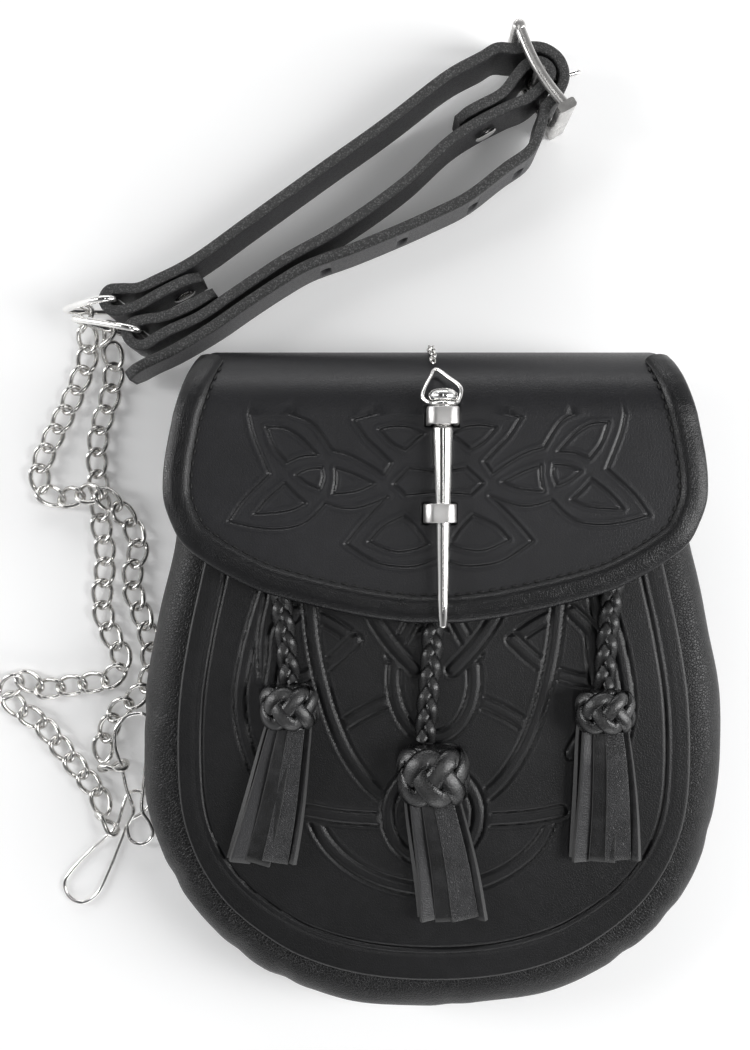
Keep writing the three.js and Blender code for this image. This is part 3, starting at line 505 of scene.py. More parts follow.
# Three flat strands that pass over each other in turn
def plaitShape(path, phase):
    length = pathLength(path)
    path = evenly(path, int(length * tassels["perMillimetre"]))
    tangents = tangentsOf(path)
    side = unit(np.cross(tangents, (0, 0, 1)))
    up = np.cross(side, tangents)
    along = np.linspace(0, length, len(path))
    reach = (tassels["cordWidth"] - tassels["strandWidth"]) / 2
    rise = (tassels["cordDepth"] - tassels["strandDepth"]) / 2
    shapes = []
    for strand in range(3):
        turn = 2 * math.pi * (along / tassels["plait"] + strand / 3) + phase
        centre = path + side * (reach * np.sin(turn))[:, None] + up * (rise * np.sin(2 * turn))[:, None]
        lean = tassels["strandLean"] * np.sin(turn)
        lift = up * np.cos(lean)[:, None] + side * np.sin(lean)[:, None]
        outline = oval(tassels["strandWidth"], tassels["strandDepth"], 14)
        shapes.append(loft(sweepRings(centre, outline, lift)))
    marks = strandMarks(outline, len(path))
    return gather(shapes), {name: np.tile(mark, 3) for name, mark in marks.items()}


knotWeave = {"bights": 7, "laps": 3, "places": 330, "swing": 0.36, "inset": 1.5, "over": 0.55,
             "strandShare": 0.34, "strandDepth": 1.9}


# Strands woven round a barrel, three side by side, as one closed run
def knotShape(knot):
    x, y, width, height, depth = knot
    barrel = [(-0.5 * height, 0.30 * width)] + [
        (v * height, (0.5 * width - 1.9) * math.sqrt(max(0.02, 1 - (1.55 * v) ** 2)) ** 0.8)
        for v in np.linspace(-0.46, 0.46, 17)] + [(0.5 * height, 0.30 * width)]
    centre = np.array([x, y, panelTop + depth / 2])
    base = turned(barrel, centre, (0, 1, 0), 36)
    base[0][:, 2] = centre[2] + (base[0][:, 2] - centre[2]) * depth / width
    count = knotWeave["places"]
    turn = np.linspace(0, 2 * knotWeave["laps"] * math.pi, count, endpoint=False)
    wave = knotWeave["bights"] / knotWeave["laps"] * turn
    level = knotWeave["swing"] * height * np.cos(wave)
    reach = (0.5 * width - knotWeave["inset"]) * np.sqrt(1 - (level / height * 1.25) ** 2)
    reach += knotWeave["over"] * np.sin(2 * wave)
    squash = depth / width
    path = centre + np.stack([reach * np.cos(turn), level, reach * np.sin(turn) * squash], axis=1)
    lift = unit(np.stack([np.cos(turn), 1.1 * level / height, np.sin(turn) / squash], axis=1))
    outline = oval(height * knotWeave["strandShare"], knotWeave["strandDepth"], 12)
    weave = loft(sweepRings(path, outline, lift, True), True)
    # The barrel under the strands gets painted shade all over
    inside = {"worn": np.zeros(len(base[0])), "pressed": np.ones(len(base[0]))}
    marks = strandMarks(outline, count)
    return gather([base, weave]), {name: np.concatenate([inside[name], marks[name]]) for name in marks}


# Strips of one skirt: their place across it, layer, tone and how far they curl
stripNames = ("across", "width", "layer", "toneAndSheen", "grain", "curl", "trim")
strips = [dict(zip(stripNames, row)) for row in [
    (-0.95, 0.20, 0.30, 0.5, 0.0, 1.1, 1.4),
    (-0.70, 0.27, 0.66, 1.0, 0.0, 0.35, 0.2),
    (-0.12, 0.31, 0.80, 0.1, 0.1, -0.10, 0.0),
    (0.46, 0.32, 0.84, 0.35, 1.0, 0.12, 0.6),
    (0.86, 0.24, 0.52, 0.25, 0.2, -0.65, 0.3),
    (-0.45, 0.26, 0.36, 0.1, 0.0, 0.1, 2.2),
    (0.16, 0.26, 0.42, 0.3, 0.0, -0.1, 1.6),
    (0.64, 0.26, 0.26, 0.4, 0.0, 0.1, 1.4),
    (-0.75, 0.24, 0.20, 0.1, 0.0, -0.1, 2.0),
]]


def skirtShape(knot, skirt, seed):
    draw = np.random.default_rng(seed)
    x, y, _, height, _ = knot
    endX, endY, top, bottom = skirt
    rows = 26
    steps = np.linspace(0, 1, rows)
    spread = top + (bottom - top) * steps ** 0.9
    room = np.interp(steps, [0, 0.25, 0.6, 1], [7, 7.5, 6, 4])
    startY = y - height / 2 + 1.2
    shapes, marks = [], {"toneAndSheen": [], "grainy": [], "worn": []}
    for strip in strips:
        sway = draw.uniform(-0.5, 0.5, 3)
        across = strip["across"] + 0.05 * sway[0] * steps
        lastY = endY + strip["trim"] + 0.4 * sway[1]
        width = spread * strip["width"]
        middleX = x + (endX - x) * steps + across * (spread / 2 - width / 2)
        middleX += 0.5 * np.sin(math.pi * steps * 1.3 + sway[2]) * steps
        middleY = startY + (lastY - startY) * steps
        middleZ = panelTop + room * strip["layer"] + 0.25 * np.sin(5 * steps + 6 * sway[0])
        path = np.stack([middleX, middleY, middleZ], axis=1)
        turn = strip["curl"] * (0.5 + 0.8 * steps)
        lift = np.stack([np.sin(turn), np.zeros(rows), np.cos(turn)], axis=1)
        outline = np.stack([roundedBox(1, 1.5, 0.12, 2) * (w, 1) for w in width])
        edge = np.tile(np.abs(outline[0][:, 0]) > 0.47 * width[0], (rows, 1)).astype(float)
        edge[-1] = 1.0
        shapes.append(loft(sweepRings(path, outline, lift)))
        marks["toneAndSheen"].append(np.full(edge.size, strip["toneAndSheen"] + 0.15 * sway[1]))
        marks["grainy"].append(np.full(edge.size, strip["grain"]))
        marks["worn"].append(edge.ravel())
    return gather(shapes), {name: np.concatenate(mark) for name, mark in marks.items()}


for number, side in enumerate(["left", "middle", "right"]):
    tassel = tassels[side]
    name = side.capitalize()
    route = np.array([(x, y, panelTop + tassels["cordDepth"] / 2) for x, y in tassel["route"]])
    middle = smoothThrough(route, 12)
    shape, marks = plaitShape(middle, 1.1 * number)
    cord = makePiece(f"braid{name}", makeMesh("braid", shape, marks), braidLeather,
                     "leather_tassel", f"tassel_{side}_braid")
    shape, marks = knotShape(tassel["knot"])
    knot = makePiece(f"knot{name}", makeMesh("knot", shape, marks), braidLeather,
                     "leather_tassel", f"tassel_{side}_knot")
    shape, marks = skirtShape(tassel["knot"], tassel["skirt"], 40 + number)
    skirt = makePiece(f"skirt{name}", makeMesh("skirt", shape, marks, 30),
                      tasselLeather, "leather_tassel", f"tassel_{side}_skirt")
print("tassels made")


# The body: its outline is a row of (half width, y) from the bottom up

bodyOutline = [
    (-153.8, 24), (-148.6, 42.2), (-142.5, 54), (-130.1, 69.7), (-117.7, 79), (-105.4, 84.6), (-93, 87.6),
    (-74.5, 88.7), (-55.9, 87.8), (-37.4, 84.9), (-12.6, 79.6), (10, 76), (24, 73.6), (32, 72.4),
]
bodyBottom = -155.8
gussetReach = 12.4


# Places along the outline with their way out, from the right of the mouth round to the left
def bodyPlaces(count, topEdge):
    heights, halves = np.array(bodyOutline).T
    rising = [(half, y) for y, half in bodyOutline if y < topEdge - 2]
    rising.append((float(np.interp(topEdge, heights, halves)), topEdge))
    right = [(half, y, 0) for half, y in reversed(rising)]
    left = [(-half, y, 0) for half, y in rising]
    curve = evenly(smoothThrough(right + [(0, bodyBottom, 0)] + left, 40), count)
    tangents = tangentsOf(curve)
    return curve, np.stack([-tangents[:, 1], tangents[:, 0], np.zeros(count)], axis=1)


# The outline's right half, from the mouth to the bottom
def rightHalf(topEdge, count=1001):
    curve, out = bodyPlaces(2 * count - 1, topEdge)
    return curve[:count], out[:count]


gusset = {
    "wall": 1.7, "topEdge": 24, "places": 280, "around": 64, "sway": 0.35, "creaseWidth": 0.006,
    "waves": [(31, 4, 0, 1), (57, -7, 1, 0.6), (97, 13, 2, 0.35)],
    "section": [
        (-7.5, 6.1), (-3, 6.1), (-1.5, 5.2), (-1.2, 3.2), (0, 1.5), (2.2, 1.15), (5.6, 2.8), (8.9, 6.6),
        (10.9, 11.6), (11.5, 17), (11, 22.4), (9.2, 26.8), (6, 29.8), (2, 30.75), (-7.5, 30.75),
    ],
    "foldMarks": [(0.60, 0.45, 5.0), (0.635, 0.35, 3.2), (0.70, 0.4, 4.2), (0.37, 0.4, 4.5), (0.33, 0.3, 3.0),
                (0.27, 0.25, 4.0), (0.81, 0.25, 4.0), (0.49, 0.25, 5.0)],
}


def makeGusset():
    curve, out = bodyPlaces(gusset["places"], gusset["topEdge"])
    middle = evenly(smoothThrough(gusset["section"], 10), gusset["around"])
    along = tangentsOf(middle)
    normal = np.stack([-along[:, 1], along[:, 0]], axis=1)
    free = softStep(middle[:, 0], 2.5, 8.5)
    share = np.linspace(0, 1, gusset["places"])[:, None]
    across = np.linspace(0, 1, gusset["around"])[None, :]
    sway = sum(height * np.sin(run * share + cross * across + phase)
               for run, cross, phase, height in gusset["waves"]) * gusset["sway"] - 0.3
    for at, depth, lean in gusset["foldMarks"]:
        offset = (share - at - 0.004 * lean * (across - 0.7)) / gusset["creaseWidth"]
        sway = sway - depth * np.exp(-offset ** 2) + 0.35 * depth * np.exp(-(np.abs(offset) - 2.2) ** 2)
    sway = sway * free
    rings = []
    for sign in (-1, 1):
        section = middle + normal * sign * gusset["wall"] / 2
        place = section[None] - normal[None] * sway[..., None]
        outward = curve[:, None] + out[:, None] * (place[..., :1] - gussetReach)
        outward[..., 2] = place[..., 1]
        rings.append(outward)
    rings = np.concatenate([rings[0], rings[1][:, ::-1]], axis=1)
    makePiece("gussetRoll", makeMesh("gusset", loft(rings), sharpAngle=50), pebbledLeather,
              "leather_pebbled", "gusset")


makeGusset()
print("gusset made")


# Pressed work: each stroke is a smooth run of points, and runs meet at corners

def distanceTo(points, stroke):
    best = np.full(len(points), 1e9)
    low, high = stroke.min(axis=0) - 6, stroke.max(axis=0) + 6
    near = np.all((points > low) & (points < high), axis=1)
    chosen = points[near]
    found = np.full(len(chosen), 1e9)
    for start, end in zip(stroke, stroke[1:]):
        along = end - start
        share = np.clip((chosen - start) @ along / max(float(along @ along), 1e-9), 0, 1)
        found = np.minimum(found, np.linalg.norm(chosen - start - share[:, None] * along, axis=1))
    best[near] = found
    return best


def ellipse(x, y, width, height, start=0, end=360):
    turn = np.radians(np.linspace(start, end, 60))
    return np.stack([x + width * np.cos(turn), y + height * np.sin(turn)], axis=1)


# A pressed line's depth by the distance from its middle, with a low swell beside it
def pressedLine(away, cut):
    rise, out, width = cut["swell"]
    return (rise * np.exp(-((away - out) / width) ** 2)
            - cut["grooveDepth"] * np.exp(-(away / cut["grooveWidth"]) ** 2))


frontPanel = {
    "bottom": 32.1, "top": 34.4, "topEdge": 28, "rim": 0.7, "rows": 330, "columns": 232,
    "bandHalf": 1.6, "bandRise": 0.26, "grooveOut": 0.3, "grooveDepth": 0.5, "grooveWidth": 0.4,
    "swell": (0.14, 0.8, 0.4), "underFlap": -8, "looseRows": 14,
    "border": [(-0.55, 0, 0.38), (-0.22, 1.8, 0.4), (0.16, 0.8, 0.4)],  # rise, way out from the line, width
    "line": 7.3, "lineDrop": 2.5,  # the pressed border's distance from the rim, and what it gains at the foot
    "rimSteps": [0, 0.12, 0.35, 0.7, 1.3, 2.2, 3.4, 4.4, 5.2, 5.8, 6.3, 6.8, 7.2, 7.6, 8.0, 8.4, 8.8, 9.2,
                 9.6, 10.0, 10.5, 11.2, 12],
}
# Bands of the knotwork, each drawn over those before it; the left half mirrors the right
knotBands = [
    ellipse(0.2, -88, 36.5, 28.4, 190, 350),
    [(12, -95.8), (28, -94.8), (38, -93)],
    [(11.5, -59.8), (16, -61.4), (22, -64.4), (28.5, -68.4)],
    [(49.8, -26), (53.5, -38), (56.4, -50), (57.6, -60), (56.4, -70), (52, -82), (45, -93)],
    [(47.5, -27.8), (50.2, -41.9), (49.6, -55), (46.5, -66), (41, -76)],
    [(40, -33.6), (34, -35.4), (28.6, -38.4), (23.4, -42.2)],
    [(23.4, -42.2), (30, -48.2), (38, -52.7), (48.6, -55.2)],
    [(48.6, -55.2), (47.4, -47), (46.6, -40), (41, -33.8)],
    [(38.2, -22), (37, -31.6), (35.8, -42.6), (33.8, -53), (30.4, -65), (25.6, -76), (19.4, -84.6),
     (12, -91)],
    ellipse(0, -53.6, 12, 17.6),
    [(4.2, -31.5), (8, -39.4), (12.4, -46.4)],
    [(20.4, -30.5), (16.2, -38.2), (10.8, -45.4), (5.4, -51)],
    ellipse(0.3, -94, 13.4, 13.8),
]


def bandRelief(points):
    relief, pressed = np.zeros((2, len(points)))
    half = frontPanel["bandHalf"]
    for band in knotBands:
        stroke = smoothThrough(band, 8) if isinstance(band, list) else band
        for place in (points, points * (-1, 1)):
            away = distanceTo(place, stroke)
            beside = away - half - frontPanel["grooveOut"]
            rise = frontPanel["bandRise"] * (1 - softStep(away, half - 0.8, half + 0.1))
            inside = away < half + 1.5
            relief = np.where(inside, rise + pressedLine(beside, frontPanel), relief)
            # Painted shade in the groove beside each band
            pressed = np.where(inside, np.exp(-(beside / frontPanel["grooveWidth"]) ** 2), pressed)
    return relief, pressed


# Marks of a top surface, with none for the two points that close each ring below it
def padded(**marks):
    return {name: np.pad(mark, ((0, 0), (0, 2))) for name, mark in marks.items()}


def makeFrontPanel():
    rows, columns = frontPanel["rows"], frontPanel["columns"]
    edge, out = rightHalf(frontPanel["topEdge"])
    edge = edge - out * gussetReach
    order = np.arange(len(edge))
    heights = edge[:, 1]
    first = int(np.argmax(heights < frontPanel["underFlap"]))  # rows are few above it
    loose = np.linspace(0, first, frontPanel["looseRows"], endpoint=False)
    # Below it they lie evenly by height, so that the pressed lines stay clean
    effort = np.abs(np.diff(heights[first:])) + 0.12 * np.linalg.norm(np.diff(edge[first:], axis=0), axis=1)
    effort = np.concatenate([[0], np.cumsum(effort)])
    close = np.interp(np.linspace(0, effort[-1], rows), effort, order[first:])
    picks = np.concatenate([loose, close])
    rimPoints, rimOut = (np.stack([np.interp(picks, order, row[:, i]) for i in range(2)], axis=1)
                         for row in (edge, out))
    rimOut = unit(rimOut)
    rimOut[-1] = (0, -1)
    rimPoints[-1, 0] = 0
    steps = np.array(frontPanel["rimSteps"])
    right = rimPoints[:, None] - rimOut[:, None] * steps[None, :, None]
    right[..., 0] = np.maximum(right[..., 0], 0)
    inner = right[:, -1]
    share = np.linspace(1, -1, columns)[1:-1]
    middle = np.stack([inner[:, :1] * share, np.repeat(inner[:, 1:], columns - 2, axis=1)], axis=2)
    left = right[:, ::-1] * (-1, 1)
    flat = np.concatenate([right, middle, left], axis=1)
    inset = np.concatenate([steps, np.full(columns - 2, steps[-1]), steps[::-1]])
    inset = np.broadcast_to(inset, flat.shape[:2]).ravel()
    points = flat.reshape(-1, 2)
    relief, pressed = bandRelief(points)
    line = frontPanel["line"] + frontPanel["lineDrop"] * softStep(-points[:, 1], 95, 140)
    field = softStep(inset, line + 0.2, line + 1.1)
    relief *= field
    pressed *= field
    border = sum(rise * np.exp(-((inset - line + out) / width) ** 2)
                 for rise, out, width in frontPanel["border"])
    fall = 1 - np.clip(inset / frontPanel["rim"], 0, 1)
    rim = frontPanel["rim"] * (np.sqrt(np.clip(1 - fall ** 2, 0, 1)) - 1)
    swell = 0.25 * np.sin(points[:, 0] / 17) * np.sin(points[:, 1] / 21 + 0.6)
    height = frontPanel["top"] - 0.25 + relief * 0.85 + border + rim + swell * 0.6 * softStep(inset, 3, 11.9)
    # Painted shade in the pressed border line
    pressed = pressed + 0.9 * np.exp(-((inset - line) / 0.5) ** 2)
    top = np.concatenate([points, height[:, None]], axis=1).reshape(*flat.shape[:2], 3)
    low = top[:, [0, -1]].copy()
    low[..., 2] = frontPanel["bottom"]
    rings = np.concatenate([top, low[:, 1:], low[:, :1]], axis=1)
    # A painted highlight along the rim
    marks = padded(worn=np.where(inset < 0.4, 0.8, 0.0).reshape(flat.shape[:2]),
                   pressed=pressed.reshape(flat.shape[:2]))
    makePiece("frontPanel", makeMesh("frontPanel", loft(rings), marks, 60), panelLeather,
              "leather_smooth", "front_panel")


makeFrontPanel()
print("front panel made")


# The back, the fold and the flap are one piece of leather

flap = {
    "underside": 41.0, "thickness": 2.4, "foldY": 24.2, "backBottom": 2.6, "backThickness": 2.2,
    "backInset": 2.9, "columns": 410, "frontRows": 178, "foldRows": 22, "backRows": 18,
    "grooveDepth": 0.42, "grooveWidth": 0.30, "swell": (0.13, 0.95, 0.45), "pressedWidth": 0.5,
    "patternX": 0.8, "patternY": 4, "patternTurn": 0.8, "slotDepth": 1.6, "slotHalf": 0.95,
    "outline": [  # (y, half width)
        (24.2, 74.5), (16.6, 76), (10.8, 77), (5, 77.5), (-0.8, 77.2), (-6.6, 75.3), (-12.3, 72.2),
        (-18, 65), (-22, 58), (-25.4, 51), (-28.4, 41), (-30.9, 30.7), (-33.6, 17), (-34.9, 6),
    ],
    "fold": [(-90, 58), (-60, 59.5), (-30, 62), (0, 65), (30, 68), (60, 71.5), (90, 74.5)],  # angle, half
}
# One half of the flap's tooled pattern, about its own middle; the other half mirrors it
tooling = [
    [(0, 24.6), (-5.4, 24.8), (-12.6, 25.2), (-18.3, 24.4), (-24.3, 22.9)],
    [(-24.3, 22.9), (-20.4, 17.2), (-17.3, 14.1), (-13.4, 10.2)],
    [(-13.4, 10.2), (-15.7, 6.6)],
    [(-15.7, 6.6), (-20.6, 9.9), (-26.1, 12.8), (-30.7, 14.1)],
    [(-30.7, 14.1), (-35.9, 21.6), (-40.1, 23.9), (-46.3, 25.5), (-54.8, 25.2)],
    [(-54.8, 25.2), (-53.5, 19.2), (-51.4, 13.5), (-48.9, 7.6)],
    [(-48.9, 7.6), (-56.6, 0.1), (-61, -6.1)],
    [(-61, -6.1), (-53.5, -7.9), (-47.3, -8.5), (-41.1, -7.7), (-36.9, -5.4), (-32.8, -1.2)],
    [(-32.8, -1.2), (-28.7, -2.5), (-24.5, -2.8), (-19.3, -1.5), (-14.9, 0.3)],
    [(-14.9, 0.3), (-19.3, -4.1), (-23.5, -8.7), (-27.1, -13.1)],
    [(-27.1, -13.1), (-18.3, -18.6), (-12.1, -19.9), (-6.9, -19.9), (0, -17.6)],
    [(-49.6, 21.1), (-44.7, 20.8), (-40.1, 18.2), (-34.9, 12.8)],
    [(-34.9, 12.8), (-39.5, 12.5), (-43.9, 10.7)],
    [(-43.9, 10.7), (-47.3, 15.1), (-49.6, 21.1)],
    [(-41.3, 7.1), (-38, 8.6), (-33.6, 9.1)],
    [(-33.6, 9.1), (-33.3, 6.3), (-34.4, 2.9)],
    [(-34.4, 2.9), (-38, 4.5), (-41.3, 7.1)],
    [(-29.7, 8.9), (-25, 7.3), (-18.6, 4.2)],
    [(-18.6, 4.2), (-23.5, 2.2), (-30.5, 1.4)],
    [(-30.5, 1.4), (-29.7, 5.3), (-29.7, 8.9)],
    [(-44.5, 4.7), (-41.6, 1.6), (-38.5, -1.2)],
    [(-38.5, -1.2), (-42.6, -3), (-47.3, -3.8), (-53.5, -4.1)],
    [(-53.5, -4.1), (-49.4, 0.6), (-44.5, 4.7)],
    [(-17, 20), (-12.6, 20.8), (-7.9, 20.3), (-3.8, 18.5)],
    [(-3.8, 18.5), (-9.5, 13.8)],
    [(-9.5, 13.8), (-13.1, 15.9), (-17, 20)],
    [(-12.9, 4), (-8.2, 8.6)],
    [(-8.2, 8.6), (0, 7.3)],
    [(0, 1.6), (-9.5, 0.8)],
    [(-9.5, 0.8), (-12.9, 4)],
    [(-20.4, -12.6), (-16.2, -8.2), (-10, -5.1)],
    [(-10, -5.1), (-6.4, -8.7), (-3, -13.6)],
    [(-3, -13.6), (-7.9, -15.2), (-13.1, -15.5), (-20.4, -12.6)],
]
staples = [{"name": "upper", "x": 2.0, "y": 23.3, "depth": 5.1},
           {"name": "lower", "x": 1.2, "y": -4.7, "depth": 5.5}]
stapleLegs = 3.95  # from a staple's middle to each leg


def toolingRelief(points):
    turn = math.radians(flap["patternTurn"])
    across, up = (math.cos(turn), -math.sin(turn)), (math.sin(turn), math.cos(turn))
    local = (points - (flap["patternX"], flap["patternY"])) @ np.array([across, up]) + (0, flap["patternY"])
    away = np.full(len(points), 1e9)
    for stroke in tooling:
        smooth = smoothThrough(stroke, 8)
        for place in (local, local * (-1, 1)):
            away = np.minimum(away, distanceTo(place, smooth))
    # Its second value is painted shade along the tooled grooves
    return pressedLine(away, flap), np.exp(-(away / flap["pressedWidth"]) ** 2)


# Rows across the leather, from the back's foot over the fold to the flap's tip: half width, y, z,
# the way out in y and z, and half the thickness
def leatherPath():
    backMiddle = flap["backBottom"] + flap["backThickness"] / 2
    radius = (flap["underside"] + flap["thickness"] / 2 - backMiddle) / 2
    centre = backMiddle + radius
    edge, out = rightHalf(gusset["topEdge"])
    edge = edge - out * (gussetReach + flap["backInset"])
    order = np.argsort(edge[:, 1])
    rows = []
    for y in np.linspace(-141, 0, flap["backRows"]):
        half = float(np.interp(y, edge[order, 1], edge[order, 0]))
        rows.append((half, y, backMiddle, 0, -1, 0.5 * flap["backThickness"]))
    rows.append((flap["fold"][0][1], 16, backMiddle, 0, -1, 0.5 * flap["backThickness"]))
    angles, halves = np.array(flap["fold"], float).T
    for angle in np.linspace(-90, 90, flap["foldRows"], endpoint=False):
        turn = math.radians(angle)
        half = float(np.interp(angle, angles, halves))
        rows.append((half, flap["foldY"] + radius * math.cos(turn), centre + radius * math.sin(turn),
                     math.cos(turn), math.sin(turn), 0.5 * flap["thickness"]))
    outline = smoothThrough([(half, y) for y, half in flap["outline"]], 20)
    for y in np.linspace(flap["foldY"], -34.85, flap["frontRows"]):
        half = float(np.interp(-y, -outline[:, 1], outline[:, 0]))
        rows.append((half, y, flap["underside"] + flap["thickness"] / 2, 0, 1, 0.5 * flap["thickness"]))
    return np.array(rows)


leatherRows = leatherPath()


def makeFlap():
    columns = flap["columns"]
    half, y, z, outY, outZ, skin = leatherRows.T[:, :, None]
    share = np.linspace(1, -1, columns)[None]
    x = half * share
    # The pattern runs on down the fold by the height lost
    along = np.where(z > 40, y, flap["foldY"] + np.maximum(0, 42.2 - z) * 0.9)
    front = (outZ > 0.75) & (z > 30)
    points = np.stack([x, np.broadcast_to(along, x.shape)], axis=2).reshape(-1, 2)
    relief, pressed = (np.where(front, mark.reshape(x.shape), 0) for mark in toolingRelief(points))
    for staple in staples:
        for side in (-1, 1):
            offX = np.abs(x - staple["x"] - side * stapleLegs) - flap["slotHalf"]
            offY = np.abs(y - staple["y"]) - staple["depth"] / 2 - 0.25
            slot = np.where(front, 1 - softStep(np.maximum(offX, offY), -0.15, 0.35), 0)
            relief = relief - flap["slotDepth"] * slot
            # Painted shade in the slots
            pressed = np.maximum(pressed, slot)
    swell = 0.16 * np.sin(x / 15 + 1) * np.sin(along / 12) * np.where(front, 1, 0)
    reach = skin - 0.12 + relief + swell
    outer = np.stack([x, y + outY * reach, z + outZ * reach], axis=2)
    pair = np.ones((1, 2))
    inner = np.stack([x[:, [0, -1]], (y - outY * skin) * pair, (z - outZ * skin) * pair], axis=2)
    rings = np.concatenate([outer, inner[:, 1:], inner[:, :1]], axis=1)
    # A painted highlight in a band along the upper part of the fold
    foldMarks = 0.125 * np.exp(-((outZ - 0.55) / 0.12) ** 2) * (z > 25) * np.ones(x.shape)
    makePiece("backAndFlap", makeMesh("backAndFlap", loft(rings), padded(pressed=pressed, worn=foldMarks), 60),
              flapLeather, "leather_smooth", "back_and_flap")


makeFlap()
print("flap made")


# The flap's edge is wrapped in a rolled strip, stitched beside its inner edge

binding = {
    "inner": 6.3, "wrap": 1.7, "proud": 1.9, "under": 1.5, "gap": 0.25, "places": 420,
    "stitchAt": -6.65, "stitchHeight": 0.12, "stitchPitch": 3.3, "stitchLength": 1.9, "stitchWidth": 0.85,
}


def edgePath(count):
    chosen = leatherRows[(leatherRows[:, 4] > 0.45) & (leatherRows[:, 2] > 25)]
    half, y, z, outY, outZ, skin = chosen.T
    right = np.stack([half, y + outY * skin, z + outZ * skin, outY, outZ], axis=1)
    left = right[::-1] * (-1, 1, 1, 1, 1)
    curve = evenly(np.vstack([right, left]), count)
    points = curve[:, :3]
    normals = unit(np.stack([np.zeros(count), curve[:, 3], curve[:, 4]], axis=1))
    outward = -unit(np.cross(tangentsOf(points), normals))
    for _ in range(4):
        outward[1:-1] = unit(outward[:-2] + 2 * outward[1:-1] + outward[2:])
    return points, normals, outward


def makeBinding():
    top, wrap = binding["proud"], binding["wrap"]
    low = -flap["thickness"] - binding["gap"]
    base = low - binding["under"]
    roll = smoothThrough([
        (-binding["inner"] + 0.15, 0.75), (-5.4, top - 0.45), (-4.2, top), (-2.6, top), (-0.8, top - 0.25),
        (wrap - 0.35, top - 1.3), (wrap, top - 2.8), (wrap - 0.1, low + 0.6), (wrap - 0.7, base + 0.8),
        (0.2, base), (-2.9, base + 0.1)], 5)
    section = np.vstack([
        [(-binding["inner"], binding["gap"] - 0.2), (-binding["inner"], 0.5)], roll,
        [(-3.0, low), (binding["gap"], low), (binding["gap"], binding["gap"] - 0.2)]])
    points, normals, outward = edgePath(binding["places"])
    places = np.arange(binding["places"])[:, None]
    ripple = 0.10 * np.sin(places * 0.21) * np.sin(places * 0.083 + 1)
    lift = section[None, :, 1:] + (ripple * softStep(section[:, 0], -5, -1))[..., None]
    rings = points[:, None] + outward[:, None] * section[None, :, :1] + normals[:, None] * lift
    # A painted highlight along the inner edge, and painted sheen with a glossier finish along the outer roll
    worn = np.tile(np.where(np.arange(len(section)) == 1, 1.0, 0.0), (binding["places"], 1))
    paintedSheen = np.tile(0.35 * softStep(section[:, 0], -0.5, 1.7), (binding["places"], 1))
    makePiece("flapBinding", makeMesh("flapBinding", loft(rings), {"worn": worn, "toneAndSheen": paintedSheen}, 55),
              bindingLeather, "leather_smooth", "flap_binding")
    run = points + outward * binding["stitchAt"] + normals * binding["stitchHeight"]
    return run[6:-6]


# An empty Geometry Nodes tree, its input node, and the identifier of each named input
def growTree(name, inputs):
    tree = bpy.data.node_groups.new(name, "GeometryNodeTree")
    tree.interface.new_socket("Geometry", in_out="INPUT", socket_type="NodeSocketGeometry")
    sockets = {}
    for label, (kind, value) in inputs.items():
        socket = tree.interface.new_socket(label, in_out="INPUT", socket_type="NodeSocket" + kind)
        if value is not None:
            socket.default_value = value
        sockets[label] = socket.identifier
    tree.interface.new_socket("Geometry", in_out="OUTPUT", socket_type="NodeSocketGeometry")
    return tree, tree.nodes.new("NodeGroupInput").outputs, sockets


def growNode(tree, kind, settings=None, links=None):
    node = tree.nodes.new(kind)
    for key, value in (settings or {}).items():
        setattr(node, key, value)
    for key, value in (links or {}).items():
        if isinstance(value, bpy.types.NodeSocket):
            tree.links.new(value, node.inputs[key])
        else:
            node.inputs[key].default_value = value
    return node


def endTree(tree, instances, material):
    whole = growNode(tree, "GeometryNodeRealizeInstances", links={"Geometry": instances})
    painted = growNode(tree, "GeometryNodeSetMaterial",
                       links={"Geometry": whole.outputs[0], "Material": material})
    tree.links.new(painted.outputs[0], tree.nodes.new("NodeGroupOutput").inputs[0])


# Stitches along a run of edges, each a small sphere drawn out along it and leaning a little
def stitchTree():
    tree, given, sockets = growTree("stitchRow", {
        "Pitch": ("Float", 0.0046), "Length": ("Float", 0.003), "Width": ("Float", 0.0007),
        "Lean": ("Float", 0.08), "Seed": ("Int", 7), "Thread": ("Material", None)})
    curve = growNode(tree, "GeometryNodeMeshToCurve", links={"Mesh": given["Geometry"]})
    spread = growNode(tree, "GeometryNodeCurveToPoints", {"mode": "LENGTH"},
                      {"Curve": curve.outputs[0], "Length": given["Pitch"]})
    stitch = growNode(tree, "GeometryNodeMeshUVSphere", links={"Segments": 8, "Rings": 6, "Radius": 0.5})
    size = growNode(tree, "ShaderNodeCombineXYZ",
                    links={"X": given["Width"], "Y": given["Width"], "Z": given["Length"]})
    shaped = growNode(tree, "GeometryNodeTransform",
                      links={"Geometry": stitch.outputs[0], "Scale": size.outputs[0]})
    lean = growNode(tree, "FunctionNodeRandomValue", {"data_type": "FLOAT"},
                    {"Seed": given["Seed"], 2: 0.0, 3: given["Lean"]})
    turn = growNode(tree, "ShaderNodeCombineXYZ", links={"Y": lean.outputs[1]})
    placed = growNode(tree, "GeometryNodeInstanceOnPoints", links={
        "Points": spread.outputs["Points"], "Instance": shaped.outputs[0],
        "Rotation": spread.outputs["Rotation"]})
    leaning = growNode(tree, "GeometryNodeRotateInstances", links={
        "Instances": placed.outputs[0], "Rotation": turn.outputs[0]})
    endTree(tree, leaning.outputs[0], given["Thread"])
    return tree, sockets


